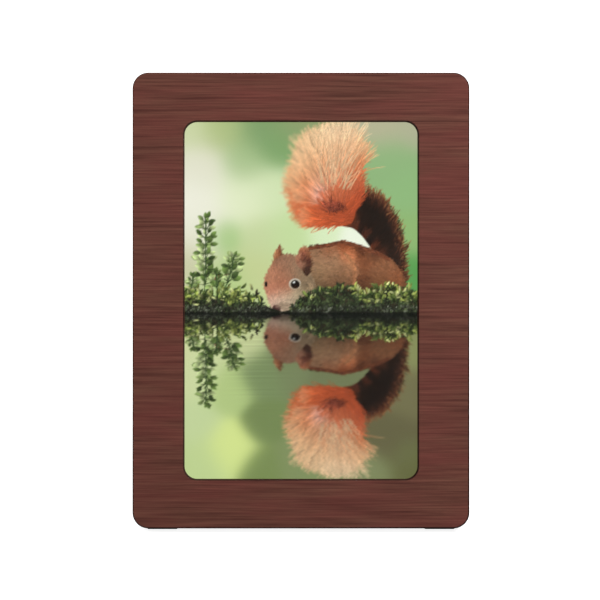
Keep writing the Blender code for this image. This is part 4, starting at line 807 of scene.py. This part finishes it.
def draw_bank(layer, rng):
    """Mossy banks on both sides of the water, dark underneath and lit on top."""
    right = [(-10, -7.6), (-4, -5), (2, 0), (7, 4), (14, 6), (22, 5), (30, 5.5), (36, 2.5)]
    right += [(43, 5), (52, 6), (60, 6), (66, 4), (73, 3), (74, -7.6), (40, -7.8)]
    left = [(-74, -7.8), (-74, 1), (-66, 2), (-58, 1), (-48, 3), (-40, 3), (-32, 0), (-26, -2)]
    left += [(-20, -4), (-15, -7.6)]
    for outline in (left, right):
        mask = layer.inside(outline)
        layer.fill(mask, [(0, -6, 60, (30, 32, 22)), (50, 4, 12, (48, 54, 34)), (-60, 0, 12, (38, 36, 26))])
    for low, high, height, dull, count in ((-5, 73, 6.4, 0.74, 1300), (-74, -23, 0.4, 0.6, 420)):
        u = rng.uniform(low, high, count)
        top = np.minimum(height + lumps(u), np.abs(u + 10) - 11)
        share = rng.uniform(0, 1, count)
        v = WATER + 0.3 + (top - WATER) * share
        order = np.argsort(-v)
        u, v, share = u[order], v[order], share[order]
        bright = np.interp(u, (0, 26, 38, 74), (0.3, 0.3, -0.1, -0.2))
        lit = share > rng.uniform(dull - 0.25, dull + 0.45, count) + bright
        tuft(layer, rng, (~lit).sum(), u[~lit], v[~lit], DARK_MOSS, (2.0, 4.4), 1.2)
        tuft(layer, rng, lit.sum(), u[lit], v[lit], MOSS, (2.0, 5.0), 1.3)
    # Stones along the waterline, with a gap under the muzzle
    count = 460
    u = rng.uniform(-74, 74, count)
    stone = np.array([(92, 96, 80), (58, 60, 50), (26, 26, 20), (116, 120, 104)])
    v = WATER + rng.uniform(0, 3.6, count)
    keep = np.abs(u + 12) > 6
    tuft(layer, rng, keep.sum(), u[keep], v[keep], stone, (0.8, 2.2), 0.6)


def draw_plants(layer, rng):
    """Four mint stems with leaves in whorls, and the moss that they stand in."""
    leaf = np.array([(98, 122, 62), (140, 162, 96), (184, 200, 138), (66, 84, 44), (126, 80, 56)])
    for base, top, lean, whorls, size in (
        ((-58.4, 0), (-57.6, 49), 0.5, 9, 8.6),
        ((-47, 5), (-40.5, 27), 1.2, 4, 9.0),
        ((-50, 4), (-51, 17), -0.5, 3, 6.0),
        ((-66, 2), (-65, 14), -0.4, 3, 6.0),
    ):
        places = 60
        t = np.linspace(0, 1, places)
        u = base[0] + (top[0] - base[0]) * t + lean * np.sin(t * math.pi)
        v = base[1] + (top[1] - base[1]) * t
        step = np.hypot(top[0] - base[0], top[1] - base[1]) / 50
        angle = np.arctan2(np.gradient(v), np.gradient(u))
        for k in range(whorls):
            at = 0.14 + 0.86 * (k + 0.6) / whorls
            here = (np.interp(at, t, u), np.interp(at, t, v))
            count = 6
            side = np.array([-1, 1, -1, 1, -1, 1])
            turn = math.pi / 2 - side * np.array([1.4, 1.35, 0.85, 0.8, 0.3, 0.35])
            turn += rng.normal(0, 0.2, count)
            long = size * (1.15 - 0.45 * at) * rng.uniform(0.75, 1.1, count)
            tone = leaf[rng.choice(5, count, p=(0.3, 0.28, 0.2, 0.18, 0.04))]
            tone = tone * rng.uniform(0.85, 1.15, (count, 1))
            colours = np.stack([tone * 0.6, tone, tone * 1.15], 1)
            uu, vv = here[0] + rng.normal(0, 0.2, count), here[1] + rng.normal(0, 0.5, count)
            stalk = long * rng.uniform(0.3, 0.55, count)
            strokes(layer, uu, vv, turn, stalk, 0, 0.4, colours * 0.6)
            uu, vv = uu + stalk * np.cos(turn), vv + stalk * np.sin(turn)
            bend = side * rng.uniform(-0.5, 0.3, count)
            strokes(layer, uu, vv, turn, long * 0.62, bend, long * 0.34, colours, "leaf")
        stem = np.tile((58, 80, 44), (places, 3, 1)).astype(float)
        strokes(layer, u, v, angle, step, 0, 0.6, stem)
    count = 150
    u = np.concatenate([rng.normal(-64, 6, 70), rng.normal(-41, 6, 80)])
    v = 0.5 + np.abs(rng.normal(0, 3.4, count))
    order = np.argsort(-v)
    u = np.minimum(u, -26)
    tuft(layer, rng, count, u[order], v[order], MOSS, (2.2, 5.0), 1.5)


# Soft colours behind the animal and in the water, as wash takes them
SKY = (
    [(-68, 104, 8, (208, 216, 170)), (-48, 104, 9, (180, 194, 134)), (-20, 106, 12, (130, 160, 108))]
    + [(-60, 80, 10, (230, 228, 206)), (-64, 58, 11, (244, 242, 226)), (-34, 84, 8, (170, 194, 140))]
    + [(-34, 62, 11, (230, 238, 200)), (-60, 40, 10, (232, 230, 208)), (-16, 66, 9, (212, 228, 180))]
    + [(-26, 38, 8, (200, 214, 160)), (-46, 38, 6, (158, 196, 120)), (-28, 18, 9, (200, 210, 150))]
    + [(-8, 40, 9, (200, 222, 162))]
    + [(14, 41, 6, (222, 238, 196)), (32, 37, 5, (242, 248, 228)), (-66, 20, 9, (206, 204, 168))]
    + [(50, 104, 8, (188, 182, 152)), (66, 104, 7, (180, 180, 150)), (54, 86, 9, (146, 182, 126))]
    + [(66, 66, 8, (146, 186, 126)), (68, 40, 8, (146, 184, 116)), (68, 16, 7, (92, 158, 84))]
    + [(-12, 94, 8, (128, 166, 106)), (-48, 12, 9, (180, 204, 136)), (-4, 108, 8, (150, 160, 112))]
)
POND = (
    [(-66, -20, 9, (208, 214, 160)), (-36, -24, 8, (196, 204, 150)), (-66, -44, 9, (206, 216, 162))]
    + [(-66, -74, 8, (196, 212, 156)), (-62, -100, 9, (192, 210, 146)), (-43, -90, 8, (214, 228, 144))]
    + [(-44, -54, 7, (178, 198, 130)), (-24, -44, 7, (122, 140, 94)), (-23, -74, 6, (118, 136, 84))]
    + [(-23, -104, 7, (122, 140, 84)), (-6, -38, 7, (120, 132, 92)), (20, -46, 8, (112, 120, 84))]
    + [(44, -14, 9, (84, 88, 52)), (67, -30, 7, (136, 142, 92)), (66, -56, 8, (116, 112, 78))]
    + [(56, -84, 8, (102, 98, 68)), (66, -104, 8, (102, 104, 64)), (44, -106, 7, (128, 136, 94))]
    + [(0, -100, 8, (130, 144, 96)), (0, -18, 9, (92, 92, 62)), (64, -92, 5, (108, 112, 72))]
)


def blur(values, reach):
    """Evens values out over a box of about twice reach, each way."""
    for axis in (0, 1):
        size = [(0, 0)] * values.ndim
        size[axis] = (reach + 1, reach)
        total = np.cumsum(np.pad(values, size, mode="edge"), axis)
        width = 2 * reach + 1
        high = np.take(total, range(width, total.shape[axis]), axis)
        low = np.take(total, range(total.shape[axis] - width), axis)
        values = (high - low) / width
    return values


def mirrored(layer, shrink, softness):
    """The layer's colours and coverage as the water gives them back."""
    colour = blur(layer.colour * layer.painted[..., None], softness)
    cover = blur(layer.painted, softness)
    source_v = WATER + (WATER - layer.v) / shrink
    depth = np.clip((WATER - layer.v) / 100, 0, 1)
    ripple = 0.35 * np.sin(layer.v * 2.1 + 1.3 * np.sin(layer.u * 0.05)) * (0.3 + depth)
    ripple += 0.25 * np.sin(layer.v * 5.3 + 0.08 * layer.u)
    row, column = layer.index(layer.u + ripple, source_v)
    row, column = np.clip(row, 0, layer.size[0] - 1), np.clip(column, 0, layer.size[1] - 1)
    ok = (layer.v < WATER) & (source_v < layer.v[-1, 0])
    return colour[row, column] * ok[..., None], cover[row, column] * ok


def over(below, colour, cover):
    """One picture laid on another, its colours already weighed by its coverage."""
    return below * (1 - cover[..., None]) + colour


def paint(columns, rows):
    """The picture's colours, as linear RGB, bottom row first."""
    rng = np.random.default_rng(20)
    animal, plants = Layer(columns, rows), Layer(columns, rows)
    draw_tail(animal, rng)
    draw_body(animal, rng)
    draw_head(animal, rng)
    draw_bank(plants, rng)
    draw_plants(plants, rng)
    u, v = animal.u, animal.v
    sky, pond = wash(u, v, SKY), wash(u, v, POND)
    # The far left of the tail is a little out of focus.
    cover = animal.painted
    sharp = animal.colour * cover[..., None]
    near = np.clip(np.clip((u + 4) / 16, 0, 1) + (v < 42), 0, 1)
    shown = sharp * near[..., None] + blur(sharp, 4) * (1 - near[..., None])
    sky = over(sky, shown, cover * near + blur(cover, 4) * (1 - near))
    sky = np.where(plants.painted[..., None] > 0, plants.colour, sky)
    # The water gives back the animal and the plants, and ripples in the middle.
    away = np.clip((WATER - v) / 50, 0, 1)[..., None]
    for layer, shrink, softness, dim in ((animal, 0.86, 3, 0.66), (plants, 0.95, 1, 0.85)):
        colour, cover = mirrored(layer, shrink, softness)
        pond = over(pond, colour * (dim + (0.9 - dim) * away), cover)
    lines = np.sin(v * 3.1 + 0.6 * np.sin(u * 0.07)) * np.sin(v * 0.83 + 0.03 * u) * np.sin(v * 0.31)
    lines *= np.exp(-(((u + 26) / 17) ** 2) - ((v + 36) / 24) ** 2)
    pond = pond * (1 + 0.09 * lines[..., None])
    # It is darkest under the bank.
    shore = np.exp(-((v - WATER) / np.clip(3.5 + u / 20, 2, 5)) ** 2)[..., None]
    pond = pond * (1 - 0.6 * shore)
    picture = np.where((v < WATER)[..., None], pond, sky)
    small = picture.reshape(rows, FINER, columns, FINER, 3).mean((1, 3))
    return linear(*np.clip(small, 0, 255).transpose(2, 0, 1)).transpose(1, 2, 0)


def display_finish():
    """Dark display surface that glows with the picture's colours."""
    f = Finish("display_picture", (0.004, 0.004, 0.004, 1), 0.35)
    f.set("Specular IOR Level", 0.1)
    shown = f.node("Attribute")
    shown.attribute_name = "picture"
    f.link("Emission Color", shown.outputs["Color"])
    f.set("Emission Strength", 1.0)
    f.material.cycles.emission_sampling = "NONE"
    return f.material


def build_display():
    """The display's cell: its front a grid with the picture's colours, its back and sides plain."""
    columns = round(PICTURE_WIDTH / PITCH) + 1
    rows = round(PICTURE_HEIGHT / PITCH) + 1
    xs = np.linspace(-PICTURE_WIDTH / 2, PICTURE_WIDTH / 2, columns)
    zs = MIDDLE + np.linspace(-PICTURE_HEIGHT / 2, PICTURE_HEIGHT / 2, rows)
    z, x = np.meshgrid(zs, xs, indexing="ij")
    front = np.stack([x, np.full_like(x, CELL_FRONT), z], axis=-1).reshape(-1, 3)
    half_w, half_h = CELL_WIDTH / 2, CELL_HEIGHT / 2
    corners = [
        (sx * half_w, y, MIDDLE + sz * half_h)
        for y in (CELL_FRONT, CELL_BACK)
        for sx, sz in ((-1, -1), (1, -1), (1, 1), (-1, 1))
    ]
    places = np.vstack([front, corners])
    index = np.arange(rows * columns).reshape(rows, columns)
    a, b, c, d = index[:-1, :-1], index[:-1, 1:], index[1:, 1:], index[1:, :-1]
    faces = np.stack([a, b, c, d], axis=-1).reshape(-1, 4).tolist()
    # The grid's edges meet the four front corners, and those the four behind.
    base = rows * columns
    sides = [(base + i, base + (i + 1) % 4) for i in range(4)]
    edges = (index[0, ::-1], index[::-1, -1], index[-1], index[:, 0])
    faces += [[i, j, *edge.tolist()] for (i, j), edge in zip(sides, edges, strict=True)]
    faces.append([base + 4, base + 7, base + 6, base + 5])
    faces += [[i, i + 4, j + 4, j] for i, j in sides]
    mesh = bpy.data.meshes.new("picture")
    mesh.from_pydata(places.tolist(), [], faces)
    mesh.validate()
    colours = np.zeros((len(places), 4), np.float32)
    colours[:, 3] = 1
    colours[: rows * columns, :3] = paint(columns, rows).reshape(-1, 3)
    mesh.color_attributes.new("picture", "FLOAT_COLOR", "POINT").data.foreach_set(
        "color", colours.ravel()
    )
    made = new_piece("display_picture", mesh, "frame", "display", "lcd_cell")
    dress(made, display_finish())


# Carried-over CAD pieces ------------
# Width of the round-overs in millimetres, by how a piece's name starts
ROUNDED = {
    "stand_leg": 0.5,
    "leg_foot": 0.4,
    "foot_": 0.3,
    **dict.fromkeys(("power_button", "volume_up_button", "volume_down_button"), 0.3),
    **dict.fromkeys(("cover_screw", "hanger_plate"), 0.15),
}


def round_edges(node, width):
    """Small round-overs on a moulded or turned piece's sharp edges, by modifiers alone."""
    node.modifiers.new("joined", "WELD").merge_threshold = 0.002 * MM
    flat = node.modifiers.new("flat_faces", "DECIMATE")
    flat.decimate_type = "DISSOLVE"
    flat.angle_limit = math.radians(0.4)
    edges = node.modifiers.new("round_edges", "BEVEL")
    edges.limit_method, edges.angle_limit = "ANGLE", math.radians(40)
    edges.width, edges.segments = width * MM, 2
    edges.use_clamp_overlap = True
    node.modifiers.new("cleaned", "WELD").merge_threshold = 0.004 * MM
    weigh_normals(node)


def dress_nodes():
    """Finishes and round-overs for the CAD pieces that are still seen."""
    for name, node in nodes.items():
        if node.hide_render:
            continue
        for start, width in ROUNDED.items():
            if name.startswith(start):
                round_edges(node, width)
        for material_slot in node.material_slots:
            kind = material_slot.material.name.split(".")[0]
            material_slot.material = FINISHES[kind]


# Studio ------------
CAMERA_DISTANCE = 1.25
SENSOR_WIDTH = 36.0
VIEW_WIDTH = 361.05 * MM  # seen at the front face
FRAMING = (-0.6 * MM, 0.3 * MM)  # of the view's middle from the front's, across and up
LIGHT_AIM = Vector((0, 0, 0.13))
LIGHTS = {  # place, size and power
    "key": ((0.56, -0.6, 1.1), 0.8, 16.6),
    "fill": ((-1.8, -1.2, 0.9), 1.6, 6),
    "back": ((0.9, 2.0, 1.8), 1.4, 60),
    "back_fill": ((-1.9, 1.2, 1.0), 1.4, 14),
}
WORLD_COLOUR = (0.95, 0.97, 1.0, 1)
WORLD_LIGHT = 0.2
WORLD_SEEN = 1.05
FLOOR_RADIUS = 12
FLOOR_DROP = 0.05 * MM
FLOOR_COLOUR = (0.6, 0.6, 0.6, 1)
FLOOR_GLOW = 0.9


def build_camera():
    """The camera looks square at the leaning front."""
    data = bpy.data.cameras.new("camera")
    data.sensor_width = SENSOR_WIDTH
    data.lens = SENSOR_WIDTH * CAMERA_DISTANCE / VIEW_WIDTH
    data.clip_start, data.clip_end = 0.05, 50
    camera = add_object("camera", data)
    camera.location = LOCAL @ Vector((FRAMING[0], -CAMERA_DISTANCE, MIDDLE + FRAMING[1]))
    camera.rotation_euler = (math.pi / 2 - LEAN, 0, 0)
    bpy.context.scene.camera = camera


def add_light(name, place, size, power):
    data = bpy.data.lights.new(name, "AREA")
    data.shape, data.size, data.energy = "DISK", size, power
    light = add_object(name, data)
    light.location = place
    light.rotation_euler = (LIGHT_AIM - Vector(place)).to_track_quat("-Z", "Y").to_euler()


def build_studio():
    """Four lamps, a dim world that the camera sees as white, and a white floor."""
    for name, lamp in LIGHTS.items():
        add_light(name, *lamp)

    world = bpy.data.worlds.new("studio")
    bpy.context.scene.world = world
    world.use_nodes = True
    tree = world.node_tree
    lighting = tree.nodes["Background"]
    lighting.inputs["Color"].default_value = WORLD_COLOUR
    lighting.inputs["Strength"].default_value = WORLD_LIGHT
    seen = tree.nodes.new("ShaderNodeBackground")
    seen.inputs["Color"].default_value = (1, 1, 1, 1)
    seen.inputs["Strength"].default_value = WORLD_SEEN
    path = tree.nodes.new("ShaderNodeLightPath")
    mixed = tree.nodes.new("ShaderNodeMixShader")
    tree.links.new(path.outputs["Is Camera Ray"], mixed.inputs[0])
    tree.links.new(lighting.outputs[0], mixed.inputs[1])
    tree.links.new(seen.outputs[0], mixed.inputs[2])
    tree.links.new(mixed.outputs[0], tree.nodes["World Output"].inputs["Surface"])

    bm = bmesh.new()
    bmesh.ops.create_circle(bm, cap_ends=True, radius=FLOOR_RADIUS, segments=96)
    floor = add_object("floor", as_mesh(bm, "floor"))
    floor.location.z = -FLOOR_DROP
    f = Finish("floor_white", FLOOR_COLOUR, 0.9)
    f.set("Specular IOR Level", 0.0)
    f.set("Emission Color", (1, 1, 1, 1))
    # The floor is bright to the eye, and lights the frame no more than white card does.
    seen = f.node("LightPath").outputs["Is Camera Ray"]
    f.link("Emission Strength", f.math("MULTIPLY", seen, FLOOR_GLOW))
    f.material.cycles.emission_sampling = "NONE"
    dress(floor, f.material)


scene = bpy.context.scene
scene.view_settings.view_transform = "Standard"
scene.view_settings.look = "None"
build_front()
build_display()
dress_nodes()
build_camera()
build_studio()

bpy.context.view_layer.update()
